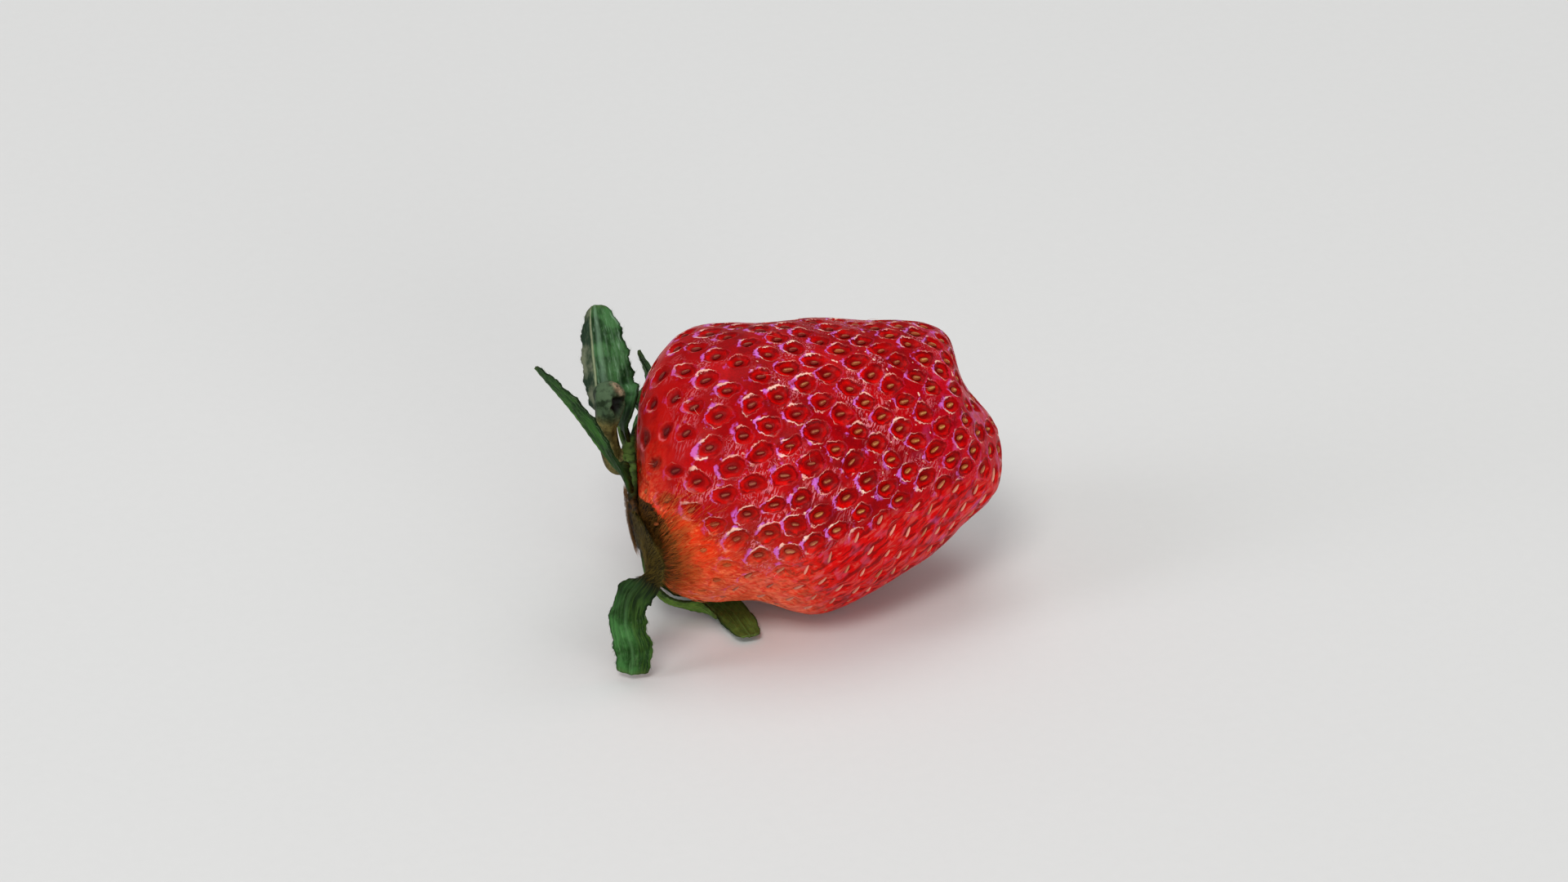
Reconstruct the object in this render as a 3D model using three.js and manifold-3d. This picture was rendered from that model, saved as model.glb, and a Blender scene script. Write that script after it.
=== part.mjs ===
// A ripe strawberry as picked, lying on its side on a small flat spot of the belly.
//
// Frame: millimetres, +Z up. +X runs along the berry from the leafy end to the tip and the origin
// is the middle of the flat spot that the berry rests on.
//
// The forms are laid out in the frame of the berry's broad side: u runs along it towards the tip,
// v across it and w out of it. place() leans that frame back so that the berry lies on its belly.

import * as THREE from "three";
import { ConvexHull } from "three/addons/math/ConvexHull.js";
import { mergeVertices } from "three/addons/utils/BufferGeometryUtils.js";
import Module from "manifold-3d";

// ---- how the berry lies -------------------------------------------------------------------
const TURN = THREE.MathUtils.degToRad(-18); // of the broad side about the vertical
const LEAN = THREE.MathUtils.degToRad(28); // of the broad side, back from upright
const SPOT = [0.3, -0.2, -16.75]; // the middle of the flat spot, before the berry is set down

// ---- the fruit ----------------------------------------------------------------------------
// Its outline in the broad side, 18 degrees of turn between points, from the leafy end
// over the top to the tip and back along the belly.
const OUTLINE = [
  [-21.3, -2.4], [-22.0, 3.9], [-20.7, 10.4], [-16.8, 16.0], [-10.5, 17.8],
  [-3.7, 18.1], [2.9, 18.2], [9.8, 18.3], [15.7, 16.3], [18.2, 10.6],
  [22.3, 4.6], [22.0, -2.3], [17.5, -7.4], [12.0, -11.6], [6.4, -15.3],
  [0.0, -17.3], [-6.7, -16.1], [-13.2, -15.7], [-18.3, -13.7], [-20.5, -8.5],
];
const DEPTH_AT_LEAVES = 1; // depth out of the broad side, as a share of the height
const DEPTH_AT_TIP = 0.95;
const SLANT = 3.5; // the leafy end stands this far out of the middle plane, the tip as far behind

// ---- the seeds (achenes) and the pits they sit in -------------------------------------------
const SEEDS = 450;
const SEEDS_TIPWARD = 0.35; // how much closer they lie at the tip than half-way, and less at the leaves
const GOLDEN_ANGLE = Math.PI * (3 - Math.sqrt(5));
const SEED_LENGTH = 1.35; // along the berry
const SEED_WIDTH = 0.9;
const SEED_SIDES = 6;
const SEED_TOP = -0.1; // heights above the skin between the pits
const PIT_FLOOR = -0.55;
const MEAN_RADIUS = 19; // turns a length on the skin into an angle on the layout sphere
const SEED_JITTER = 0.18; // of the spacing
const SKIN_WAVE = 0.2; // soft unevenness of the flesh
const BULGE = 0.5; // of the belly just behind the spot that it rests on
const BULGE_AT = [-4.2, -14.7, -8.2];
const BULGE_RADIUS = 7;

// ---- the calyx ----------------------------------------------------------------------------
const GAP = 0.35; // between one piece and the next
const CROWN_THICK = 1.1; // the crown, where the leaves and the stem meet
const CROWN_RIM_THICK = 0.7;
const CROWN_REACH = 16; // degrees of the outline, from the leafy end
const CROWN_SKEW = 3; // more on the near lower side, less opposite
const CROWN_LOBE = 0.8;
const ROOT_STEP = 2.4; // degrees from the crown's rim to the root of a sepal
const BLADE = 0.7; // thickness of a sepal
const ALONG = 13; // stations of a sepal, base to tip
const ACROSS = [-1, -0.62, -0.28, 0, 0.28, 0.62, 1];

const GREEN = 0x3f7040;
const DARK_GREEN = 0x33502c;
const OLIVE = 0x5b5a2c;

// Each sepal: where its root lies round the crown in degrees from the top towards the near side,
// its spine from there to the tip, which way its outer face looks at the tip and by what share
// of the length it has turned there, half-widths at root, widest and tip, where it is widest,
// how far the two halves fold away from the midrib, how deep its teeth are, and how far its
// edges wave. At the root the outer face looks straight out from the fruit.
const SEPALS = {
  sepal_upper: {
    root: 352,
    spine: [[-23.3, 5.6, 2.8], [-25.0, 9.2, 3.2], [-25.7, 13.0, 2.8], [-26.6, 19.7, 1.2]],
    face: [-0.25, 0.05, 1],
    turned: 0.45,
    half: [1.9, 3.3, 0.8],
    widest: 0.4,
    fold: 0.6,
    teeth: 0.3,
    wave: 0.2,
    colour: GREEN,
  },
  sepal_near: {
    root: 80,
    spine: [[-22.9, -0.4, 12.0], [-25.6, 2.9, 12.6], [-29.2, 7.6, 12.6], [-33.2, 12.1, 12.2]],
    face: [-0.72, -0.7, 0.14],
    turned: 0.4,
    half: [1.8, 2.8, 0.35],
    widest: 0.55,
    fold: 0.22,
    teeth: 0.4,
    wave: 0.2,
    colour: GREEN,
  },
  sepal_far: {
    root: 280,
    spine: [[-22.4, 1.0, -5.4], [-22.0, 5.4, -9.4], [-19.9, 10.8, -10.4], [-21.6, 14.5, -10.0]],
    face: [0.8, 0.6, -0.1],
    turned: 1,
    half: [2.0, 2.9, 0.4],
    widest: 0.45,
    fold: 0.25,
    teeth: 0.3,
    wave: 0.2,
    colour: GREEN,
  },
  sepal_lower: {
    root: 128,
    spine: [
      [-20.2, -8.6, 12.4], [-19.8, -11.9, 14.5], [-21.9, -14.8, 15.4],
      [-22.4, -18.0, 14.4], [-21.7, -21.4, 12.8], [-21.9, -24.1, 11.2],
    ],
    face: [-0.15, -0.25, 1],
    turned: 0.9,
    half: [2.6, 2.5, 1.5],
    widest: 0.3,
    fold: 0.3,
    teeth: 0.3,
    wave: 0.3,
    colour: GREEN,
  },
  sepal_under: {
    root: 208,
    spine: [
      [-19.9, -12.0, -2.6], [-17.9, -14.1, -4.9], [-14.0, -14.9, -5.8],
      [-10.9, -16.7, -3.1], [-8.0, -19.9, 3.5],
    ],
    face: [0, -0.883, -0.469],
    turned: 0.4,
    half: [1.8, 2.0, 1.1],
    widest: 0.7,
    fold: 0.06,
    teeth: 0.2,
    wave: 0.08,
    colour: DARK_GREEN,
  },
  bract_under: {
    root: 175,
    spine: [
      [-20.0, -13.0, 2.8], [-17.9, -15.7, 0.2], [-15.2, -16.4, -1.2],
      [-13.6, -16.6, -0.9], [-12.1, -17.6, 2.1],
    ],
    face: [-0.5, -0.6, 0.5],
    turned: 0.6,
    half: [1.0, 1.1, 0.3],
    widest: 0.45,
    fold: 0.1,
    teeth: 0,
    wave: 0.05,
    colour: DARK_GREEN,
  },
  bract_far_low: {
    root: 243,
    spine: [[-22.0, -6.2, -4.4], [-19.8, -8.4, -9.6], [-14.8, -9.4, -13.6]],
    face: [-0.6, 0, -0.8],
    turned: 1,
    half: [1.1, 1.6, 0.3],
    widest: 0.45,
    fold: 0.2,
    teeth: 0,
    wave: 0.15,
    colour: DARK_GREEN,
  },
  bract_far_high: {
    root: 320,
    spine: [[-23.4, 4.0, -1.6], [-24.2, 9.0, -3.0], [-24.8, 13.6, -5.0]],
    face: [-0.9, -0.2, 0.1],
    turned: 1,
    half: [1.1, 1.5, 0.3],
    widest: 0.45,
    fold: 0.2,
    teeth: 0,
    wave: 0.1,
    colour: DARK_GREEN,
  },
};

// The stem: a short stub that leaves the crown square, bends up beside it and swells towards
// its cut end.
const STEM_ROOT = [10.5, 15]; // degrees from the leafy end, and round it from the top
const STEM_RISE = 0.7;
const STEM_PATH = [[-25.0, 4.6, 6.4], [-24.7, 7.4, 7.3], [-24.8, 10.5, 7.1]];
const STEM_RADII = [1.35, 1.2, 1.25, 1.75, 1.85];
const STEM_SIDES = 12;
const STEM_RINGS = 12;

// ---- placing ------------------------------------------------------------------------------
const ALONG_U = new THREE.Vector3(Math.cos(TURN), Math.sin(TURN), 0);
const OUT_W = new THREE.Vector3(
  Math.sin(TURN) * Math.cos(LEAN),
  -Math.cos(TURN) * Math.cos(LEAN),
  Math.sin(LEAN),
);
const UP_V = new THREE.Vector3().crossVectors(OUT_W, ALONG_U);

function lean(p) {
  return new THREE.Vector3()
    .addScaledVector(ALONG_U, p.x)
    .addScaledVector(UP_V, p.y)
    .addScaledVector(OUT_W, p.z);
}

function place(p) {
  return lean(p).sub(new THREE.Vector3(...SPOT));
}

function closedGeometry(points, triangles) {
  const geometry = new THREE.BufferGeometry();
  const flat = points.flatMap((p) => [p.x, p.y, p.z]);
  geometry.setAttribute("position", new THREE.Float32BufferAttribute(flat, 3));
  geometry.setIndex(triangles.flat());
  return geometry;
}

function mesh(name, geometry, color, roughness) {
  geometry.computeVertexNormals();
  const material = new THREE.MeshStandardMaterial({ color, roughness, metalness: 0 });
  const made = new THREE.Mesh(geometry, material);
  made.name = name;
  return made;
}

// ---- the fruit's skin -----------------------------------------------------------------------
// A point of the closed outline, turn in radians from the leafy end, by a Catmull-Rom spline.
function outlinePoint(turn) {
  const count = OUTLINE.length;
  const s = (((turn / (2 * Math.PI)) % 1) + 1) % 1 * count;
  const k = Math.floor(s);
  const t = s - k;
  const at = (i, axis) => OUTLINE[(k + i + count) % count][axis];
  const blend = (axis) => 0.5 * (
    2 * at(0, axis)
    + (at(1, axis) - at(-1, axis)) * t
    + (2 * at(-1, axis) - 5 * at(0, axis) + 4 * at(1, axis) - at(2, axis)) * t * t
    + (3 * at(0, axis) - at(-1, axis) - 3 * at(1, axis) + at(2, axis)) * t * t * t
  );
  return [blend(0), blend(1)];
}

// The smooth skin at polar angle alpha from the leafy end and at azimuth phi from the top,
// positive towards the near side.
function skin(alpha, phi) {
  const [topU, topV] = outlinePoint(alpha);
  const [lowU, lowV] = outlinePoint(-alpha);
  const halfU = (topU - lowU) / 2;
  const halfV = (topV - lowV) / 2;
  const share = (1 - Math.cos(alpha)) / 2;
  const depth = Math.hypot(halfU, halfV) * THREE.MathUtils.lerp(DEPTH_AT_LEAVES, DEPTH_AT_TIP, share);
  return new THREE.Vector3(
    (topU + lowU) / 2 + halfU * Math.cos(phi),
    (topV + lowV) / 2 + halfV * Math.cos(phi),
    depth * Math.sin(phi) + SLANT * Math.cos(alpha),
  );
}

// Directions of the layout sphere, whose pole -X is the leafy end.
function angles(d) {
  return [Math.acos(THREE.MathUtils.clamp(-d.x, -1, 1)), Math.atan2(d.z, d.y)];
}

function skinAt(d) {
  return skin(...angles(d));
}

function tangents(d) {
  const pole = new THREE.Vector3(-1, 0, 0);
  const side = new THREE.Vector3().crossVectors(pole, d).normalize();
  const down = new THREE.Vector3().crossVectors(side, d).normalize();
  return [down, side];
}

function skinNormal(d) {
  const [down, side] = tangents(d);
  const step = 0.02;
  const at = (dir, s) => skinAt(d.clone().addScaledVector(dir, s).normalize());
  const a = at(down, step).sub(at(down, -step));
  const b = at(side, step).sub(at(side, -step));
  const normal = new THREE.Vector3().crossVectors(a, b).normalize();
  return normal.dot(skinAt(d)) < 0 ? normal.negate() : normal;
}

function wave(p) {
  const ripple = Math.sin(0.42 * p.x + 0.9) * Math.sin(0.38 * p.y + 0.4)
    + 0.8 * Math.sin(0.31 * p.z + 0.5 * p.x + 2.1) - 1;
  const away = p.distanceTo(new THREE.Vector3(...BULGE_AT)) / BULGE_RADIUS;
  return SKIN_WAVE * ripple + BULGE * Math.exp(-away * away);
}

function raised(d, height) {
  const p = skinAt(d);
  return p.addScaledVector(skinNormal(d), height + wave(p));
}

function crownReach(phi) {
  const skew = CROWN_SKEW * Math.cos(phi - THREE.MathUtils.degToRad(140));
  const lobe = CROWN_LOBE * Math.cos(5 * phi + 0.4);
  return THREE.MathUtils.degToRad(CROWN_REACH + skew + lobe);
}

function direction(alpha, phi) {
  const wide = Math.sin(alpha);
  return new THREE.Vector3(-Math.cos(alpha), wide * Math.cos(phi), wide * Math.sin(phi));
}

// Repeatable noise in 0..1 for the seeds' small departures from the spiral.
function noise(n) {
  const x = Math.sin(n * 12.9898 + 4.1) * 43758.5453;
  return x - Math.floor(x);
}

function spiral(index, count) {
  // The place along the berry that has the share (index + 0.5) / count of the seeds behind it.
  const behind = (2 * (index + 0.5)) / count;
  const g = SEEDS_TIPWARD;
  const x = (Math.sqrt(1 - 2 * g * (1 - g / 2 - behind)) - 1) / g;
  const r = Math.sqrt(1 - x * x);
  const turn = index * GOLDEN_ANGLE;
  const d = new THREE.Vector3(x, r * Math.cos(turn), r * Math.sin(turn));
  const [down, side] = tangents(d);
  const spacing = Math.sqrt((4 * Math.PI) / count);
  return d
    .addScaledVector(down, (noise(index) - 0.5) * SEED_JITTER * spacing)
    .addScaledVector(side, (noise(index + 0.37) - 0.5) * SEED_JITTER * spacing)
    .normalize();
}

function hullTriangles(directions) {
  const index = new Map(directions.map((d, i) => [d, i]));
  const hull = new ConvexHull().setFromPoints(directions);
  return hull.faces.map((face) => {
    const first = face.edge;
    return [first, first.next, first.next.next].map((edge) => index.get(edge.head().point));
  });
}

function fruitGeometry() {
  const centres = [];
  for (let i = 0; i < SEEDS; i += 1) {
    centres.push(spiral(i, SEEDS));
  }
  const bare = centres.map((d) => {
    const [alpha, phi] = angles(d);
    return alpha < crownReach(phi) - 0.02 || place(skinAt(d)).z < 0.9;
  });

  // The net between the pits: the corners and the mid-sides of the cells round the seeds.
  const directions = [];
  const heights = [];
  const add = (d, height) => {
    directions.push(d.normalize());
    heights.push(height);
  };
  const cells = hullTriangles(centres);
  for (const [a, b, c] of cells) {
    add(centres[a].clone().add(centres[b]).add(centres[c]), 0);
    for (const [p, q] of [[a, b], [b, c], [c, a]]) {
      if (p < q) {
        add(centres[p].clone().add(centres[q]), bare[p] || bare[q] ? 0 : -0.06);
      }
    }
  }

  // Each seed: a raised middle in a six-sided foot on the floor of its pit.
  centres.forEach((d, i) => {
    if (bare[i]) {
      add(d.clone(), 0);
      return;
    }
    add(d.clone(), SEED_TOP);
    const [down, side] = tangents(d);
    for (let k = 0; k < SEED_SIDES; k += 1) {
      const turn = (2 * Math.PI * k) / SEED_SIDES;
      const along = (SEED_LENGTH / 2 / MEAN_RADIUS) * Math.cos(turn);
      const across = (SEED_WIDTH / 2 / MEAN_RADIUS) * Math.sin(turn);
      add(d.clone().addScaledVector(down, along).addScaledVector(side, across), PIT_FLOOR);
    }
  });

  const points = directions.map((d, i) => place(raised(d, heights[i])));
  return closedGeometry(points, hullTriangles(directions));
}

// ---- the crown ------------------------------------------------------------------------------
// A dished disc that hugs the leafy end of the fruit.
function crownGeometry() {
  const rings = 6;
  const spokes = 36;
  const points = [];
  const triangles = [];
  const point = (ring, spoke, outer) => {
    const phi = (2 * Math.PI * spoke) / spokes;
    const share = ring / rings;
    const alpha = crownReach(phi) * share;
    const d = direction(alpha, phi);
    const thick = THREE.MathUtils.lerp(CROWN_THICK, CROWN_RIM_THICK, share * share);
    return place(raised(d, GAP + (outer ? thick : 0)));
  };
  for (const outer of [false, true]) {
    const start = points.length;
    points.push(point(0.001, 0, outer));
    for (let ring = 1; ring <= rings; ring += 1) {
      for (let spoke = 0; spoke < spokes; spoke += 1) {
        points.push(point(ring, spoke, outer));
      }
    }
    const at = (ring, spoke) => start + (ring === 0 ? 0 : 1 + (ring - 1) * spokes + (spoke % spokes));
    for (let ring = 0; ring < rings; ring += 1) {
      for (let spoke = 0; spoke < spokes; spoke += 1) {
        const face = [at(ring, spoke), at(ring + 1, spoke), at(ring + 1, spoke + 1)];
        const rest = [at(ring, spoke), at(ring + 1, spoke + 1), at(ring, spoke + 1)];
        triangles.push(outer ? face.reverse() : face);
        if (ring > 0) {
          triangles.push(outer ? rest.reverse() : rest);
        }
      }
    }
  }
  const lastRing = 1 + (rings - 1) * spokes;
  const rim = (spoke, outer) => (outer ? 1 + rings * spokes : 0) + lastRing + (spoke % spokes);
  for (let spoke = 0; spoke < spokes; spoke += 1) {
    triangles.push([rim(spoke, true), rim(spoke + 1, false), rim(spoke, false)]);
    triangles.push([rim(spoke, true), rim(spoke + 1, true), rim(spoke + 1, false)]);
  }
  return closedGeometry(points, triangles);
}

// ---- the stem -------------------------------------------------------------------------------
function stemGeometry() {
  const root = direction(...STEM_ROOT.map(THREE.MathUtils.degToRad));
  const foot = raised(root, GAP + CROWN_THICK + GAP + 0.15);
  const neck = raised(root, GAP + CROWN_THICK + GAP + STEM_RISE);
  const path = new THREE.CatmullRomCurve3([foot, neck, ...STEM_PATH.map((p) => new THREE.Vector3(...p))]);
  const frames = path.computeFrenetFrames(STEM_RINGS, false);
  const points = [];
  const triangles = [];
  for (let ring = 0; ring <= STEM_RINGS; ring += 1) {
    const s = ring / STEM_RINGS;
    const centre = path.getPointAt(s);
    const slot = s * (STEM_RADII.length - 1);
    const k = Math.min(Math.floor(slot), STEM_RADII.length - 2);
    const radius = THREE.MathUtils.lerp(STEM_RADII[k], STEM_RADII[k + 1], slot - k);
    for (let side = 0; side < STEM_SIDES; side += 1) {
      const turn = (2 * Math.PI * side) / STEM_SIDES;
      const reach = radius * (1 + 0.06 * Math.cos(3 * turn));
      points.push(place(centre.clone()
        .addScaledVector(frames.normals[ring], reach * Math.cos(turn))
        .addScaledVector(frames.binormals[ring], reach * Math.sin(turn))));
    }
  }
  const at = (ring, side) => ring * STEM_SIDES + (side % STEM_SIDES);
  for (let ring = 0; ring < STEM_RINGS; ring += 1) {
    for (let side = 0; side < STEM_SIDES; side += 1) {
      triangles.push([at(ring, side), at(ring, side + 1), at(ring + 1, side + 1)]);
      triangles.push([at(ring, side), at(ring + 1, side + 1), at(ring + 1, side)]);
    }
  }
  for (let side = 1; side < STEM_SIDES - 1; side += 1) {
    triangles.push([at(0, 0), at(0, side + 1), at(0, side)]);
    triangles.push([at(STEM_RINGS, 0), at(STEM_RINGS, side), at(STEM_RINGS, side + 1)]);
  }
  return closedGeometry(points, triangles);
}

// ---- the sepals -----------------------------------------------------------------------------
function halfWidth(sepal, s) {
  const [base, wide, tip] = sepal.half;
  if (s < sepal.widest) {
    const t = s / sepal.widest;
    return base + (wide - base) * Math.sin((t * Math.PI) / 2);
  }
  const t = (s - sepal.widest) / (1 - sepal.widest);
  return tip + (wide - tip) * Math.sqrt(Math.max(0, 1 - t ** 2.2));
}

function sepalGeometry(sepal) {
  const phi = THREE.MathUtils.degToRad(sepal.root);
  const alpha = crownReach(phi) + THREE.MathUtils.degToRad(ROOT_STEP);
  const rootDirection = direction(alpha, phi);
  const root = raised(rootDirection, GAP + BLADE / 2 + 0.1);
  const path = new THREE.CatmullRomCurve3([root, ...sepal.spine.map((p) => new THREE.Vector3(...p))]);
  const faceRoot = skinNormal(rootDirection);
  const faceTip = new THREE.Vector3(...sepal.face).normalize();
  const frames = [];
  for (let i = 0; i < ALONG; i += 1) {
    const s = i / (ALONG - 1);
    const tangent = path.getTangentAt(s);
    const face = faceRoot.clone().lerp(faceTip, THREE.MathUtils.smoothstep(s, 0, sepal.turned));
    face.addScaledVector(tangent, -face.dot(tangent)).normalize();
    const side = new THREE.Vector3().crossVectors(tangent, face).normalize();
    frames.push({ s, centre: path.getPointAt(s), face, side });
  }
  const surface = (i, j) => {
    const { s, centre, face, side } = frames[i];
    const share = ACROSS[j];
    const edge = Math.abs(share);
    const tooth = i > 1 && i < ALONG - 1 && edge === 1 && i % 2 === 0 ? sepal.teeth : 0;
    const reach = halfWidth(sepal, s) + tooth;
    const free = THREE.MathUtils.smoothstep(s, 0.1, 0.45);
    const fold = sepal.fold * free;
    const rippled = sepal.wave * free * edge * Math.sin(2.6 * Math.PI * s + (share > 0 ? 0.6 : 2.2));
    return centre.clone()
      .addScaledVector(side, share * reach * Math.cos(fold))
      .addScaledVector(face, -edge * reach * Math.sin(fold) + rippled);
  };
  const grid = frames.map((_, i) => ACROSS.map((_, j) => surface(i, j)));
  const normalAt = (i, j) => {
    const alongStep = grid[Math.min(i + 1, ALONG - 1)][j].clone().sub(grid[Math.max(i - 1, 0)][j]);
    const last = ACROSS.length - 1;
    const acrossStep = grid[i][Math.min(j + 1, last)].clone().sub(grid[i][Math.max(j - 1, 0)]);
    const normal = new THREE.Vector3().crossVectors(acrossStep, alongStep).normalize();
    return normal.dot(frames[i].face) < 0 ? normal.negate() : normal;
  };
  const columns = ACROSS.length;
  const size = ALONG * columns;
  const points = [];
  for (const way of [1, -1]) {
    for (let i = 0; i < ALONG; i += 1) {
      for (let j = 0; j < columns; j += 1) {
        points.push(place(grid[i][j].clone().addScaledVector(normalAt(i, j), (way * BLADE) / 2)));
      }
    }
  }
  const at = (i, j, back) => (back ? size : 0) + i * columns + j;
  const triangles = [];
  for (let i = 0; i < ALONG - 1; i += 1) {
    for (let j = 0; j < columns - 1; j += 1) {
      for (const back of [false, true]) {
        const one = [at(i, j, back), at(i, j + 1, back), at(i + 1, j + 1, back)];
        const two = [at(i, j, back), at(i + 1, j + 1, back), at(i + 1, j, back)];
        triangles.push(back ? one.reverse() : one, back ? two.reverse() : two);
      }
    }
  }
  const edgeLoop = [];
  for (let j = 0; j < columns - 1; j += 1) {
    edgeLoop.push([0, j]);
  }
  for (let i = 0; i < ALONG - 1; i += 1) {
    edgeLoop.push([i, columns - 1]);
  }
  for (let j = columns - 1; j > 0; j -= 1) {
    edgeLoop.push([ALONG - 1, j]);
  }
  for (let i = ALONG - 1; i > 0; i -= 1) {
    edgeLoop.push([i, 0]);
  }
  edgeLoop.forEach(([i, j], n) => {
    const [k, l] = edgeLoop[(n + 1) % edgeLoop.length];
    triangles.push([at(i, j, false), at(i, j, true), at(k, l, true)]);
    triangles.push([at(i, j, false), at(k, l, true), at(k, l, false)]);
  });
  return closedGeometry(points, triangles);
}

// ---- the flat spot --------------------------------------------------------------------------
const wasm = await Module();
wasm.setup();

function solid(geometry) {
  const bare = geometry.clone();
  bare.deleteAttribute("normal");
  bare.deleteAttribute("uv");
  const merged = mergeVertices(bare, 1e-4);
  return new wasm.Manifold(new wasm.Mesh({
    numProp: 3,
    vertProperties: Float32Array.from(merged.attributes.position.array),
    triVerts: Uint32Array.from(merged.index.array),
  }));
}

function cutFlat(geometry) {
  const slab = new THREE.BoxGeometry(80, 80, 10);
  slab.translate(0, 0, -5);
  const rest = solid(geometry).subtract(solid(slab)).getMesh();
  const made = new THREE.BufferGeometry();
  made.setAttribute("position", new THREE.Float32BufferAttribute(rest.vertProperties, 3));
  made.setIndex(Array.from(rest.triVerts));
  return made;
}

// ---- the whole --------------------------------------------------------------------------------
const strawberry = new THREE.Group();
strawberry.add(mesh("fruit", cutFlat(fruitGeometry()), 0xb5121b, 0.35));
strawberry.add(mesh("crown", crownGeometry(), OLIVE, 0.8));
strawberry.add(mesh("stem", stemGeometry(), OLIVE, 0.75));
for (const [name, sepal] of Object.entries(SEPALS)) {
  strawberry.add(mesh(name, sepalGeometry(sepal), sepal.colour, 0.7));
}

export default strawberry;
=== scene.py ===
"""A ripe strawberry lying on its side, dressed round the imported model.

Lengths are in millimetres until a mesh is made, in the frame of the berry's broad side:
u along it towards the tip, v across it and w out of it. place() leans that frame back so
that the berry lies on its belly, and put() makes metres of it.
"""

import math

import bpy
import numpy as np
from mathutils import Matrix, Vector


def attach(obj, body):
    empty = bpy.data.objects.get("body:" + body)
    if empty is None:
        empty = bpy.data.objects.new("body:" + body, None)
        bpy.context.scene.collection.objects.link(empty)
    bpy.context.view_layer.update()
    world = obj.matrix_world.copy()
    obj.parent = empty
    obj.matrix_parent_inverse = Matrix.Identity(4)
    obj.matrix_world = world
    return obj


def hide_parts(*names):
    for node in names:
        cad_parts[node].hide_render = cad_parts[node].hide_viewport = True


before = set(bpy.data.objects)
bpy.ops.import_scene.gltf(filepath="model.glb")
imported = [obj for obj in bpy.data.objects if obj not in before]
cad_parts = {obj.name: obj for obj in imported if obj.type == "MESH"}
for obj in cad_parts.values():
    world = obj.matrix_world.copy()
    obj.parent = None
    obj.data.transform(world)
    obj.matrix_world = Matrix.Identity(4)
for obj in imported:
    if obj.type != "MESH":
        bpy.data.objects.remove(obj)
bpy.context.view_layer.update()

MM = 0.001
TAU = 2 * math.pi

# ---- how the berry lies ---------------------------------------------------------------------
TURN = math.radians(-18)  # of its length, about the upright axis
LEAN = math.radians(28)  # of its broad side, back from upright
SPOT = np.array([0.3, -0.2, -16.75])  # what touches the ground, which place() moves to the origin
ALONG_U = np.array([math.cos(TURN), math.sin(TURN), 0.0])
OUT_W = np.array(
    [math.sin(TURN) * math.cos(LEAN), -math.cos(TURN) * math.cos(LEAN), math.sin(LEAN)]
)
UP_V = np.cross(OUT_W, ALONG_U)
LOCAL = np.stack([ALONG_U, UP_V, OUT_W])

# ---- the fruit ------------------------------------------------------------------------------
# The skin's outline in the broad side, from the leafy end over the top to the tip and back.
OUTLINE = np.array([
    [-21.3, -2.4], [-22.0, 3.9], [-20.7, 10.4], [-16.8, 16.0], [-10.5, 17.8],
    [-3.7, 18.1], [2.9, 18.2], [9.8, 18.3], [15.7, 16.3], [18.2, 10.6],
    [22.3, 4.6], [22.0, -2.3], [17.5, -7.4], [12.0, -11.6], [6.4, -15.3],
    [0.0, -17.3], [-6.7, -16.1], [-13.2, -15.7], [-18.3, -13.7], [-20.5, -8.5],
])
DEPTH_AT_LEAVES = 1.0  # the fruit's depth there, as a share of its height
DEPTH_AT_TIP = 0.95
SLANT = 3.5  # how far the leafy end stands out of the broad side, and the tip lies behind it
MEAN_RADIUS = 19.0  # turns a length on the skin into an angle on the layout sphere
SKIN_WAVE = 0.2
BULGE = 0.5  # height of the low swelling at BULGE_AT
BULGE_AT = np.array([-4.2, -14.7, -8.2])
BULGE_RADIUS = 7.0

SEEDS = 450
SEEDS_TIPWARD = 0.35  # how much closer together they are towards the tip
SEED_JITTER = 0.18
BARE_BELOW = 0.9  # no seed nearer than this to the ground
GOLDEN_ANGLE = math.pi * (3 - math.sqrt(5))

GAP = 0.35  # between the solid pieces
CROWN_THICK = 1.1
CROWN_RIM_THICK = 0.7
ROOT_STEP = 2.4  # degrees from the crown's rim to the root of a sepal
BLADE = 0.7  # of the CAD sepal, which the finer blade lies within

# ---- how fine the meshes are ----------------------------------------------------------------
FRUIT_QUADS = 128  # along an edge of the cube that the fruit is blown up from
SEED_MESH = (11, 14)  # rings and sides
BLADE_GRID = (90, 37)  # stations along a sepal, and columns across it
BLADE_MESH = BLADE_GRID
CROWN_MESH = ((30, 216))  # rings and spokes
STEM_MESH = ((96, 72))  # rings and sides
HAIR_SIDES = 3
HAIR_SHARE = 1.0


def smooth(x, low, high):
    t = np.clip((np.asarray(x, float) - low) / (high - low), 0, 1)
    return t * t * (3 - 2 * t)


def unit(v):
    return v / np.maximum(np.linalg.norm(v, axis=-1, keepdims=True), 1e-12)


def place(p):
    return p @ LOCAL - SPOT


def outline_point(turn):
    count = len(OUTLINE)
    s = (turn / TAU) % 1 * count
    k = np.floor(s).astype(int)
    t = (s - k)[..., None]
    a, b, c, d = (OUTLINE[(k + i) % count] for i in (-1, 0, 1, 2))
    return 0.5 * (
        2 * b + (c - a) * t + (2 * a - 5 * b + 4 * c - d) * t**2 + (3 * b - a - 3 * c + d) * t**3
    )


def angles(d):
    return np.arccos(np.clip(-d[..., 0], -1, 1)), np.arctan2(d[..., 2], d[..., 1])


def direction(alpha, phi):
    alpha, phi = np.broadcast_arrays(alpha, phi)
    return np.stack(
        [-np.cos(alpha), np.sin(alpha) * np.cos(phi), np.sin(alpha) * np.sin(phi)], -1
    )


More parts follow.
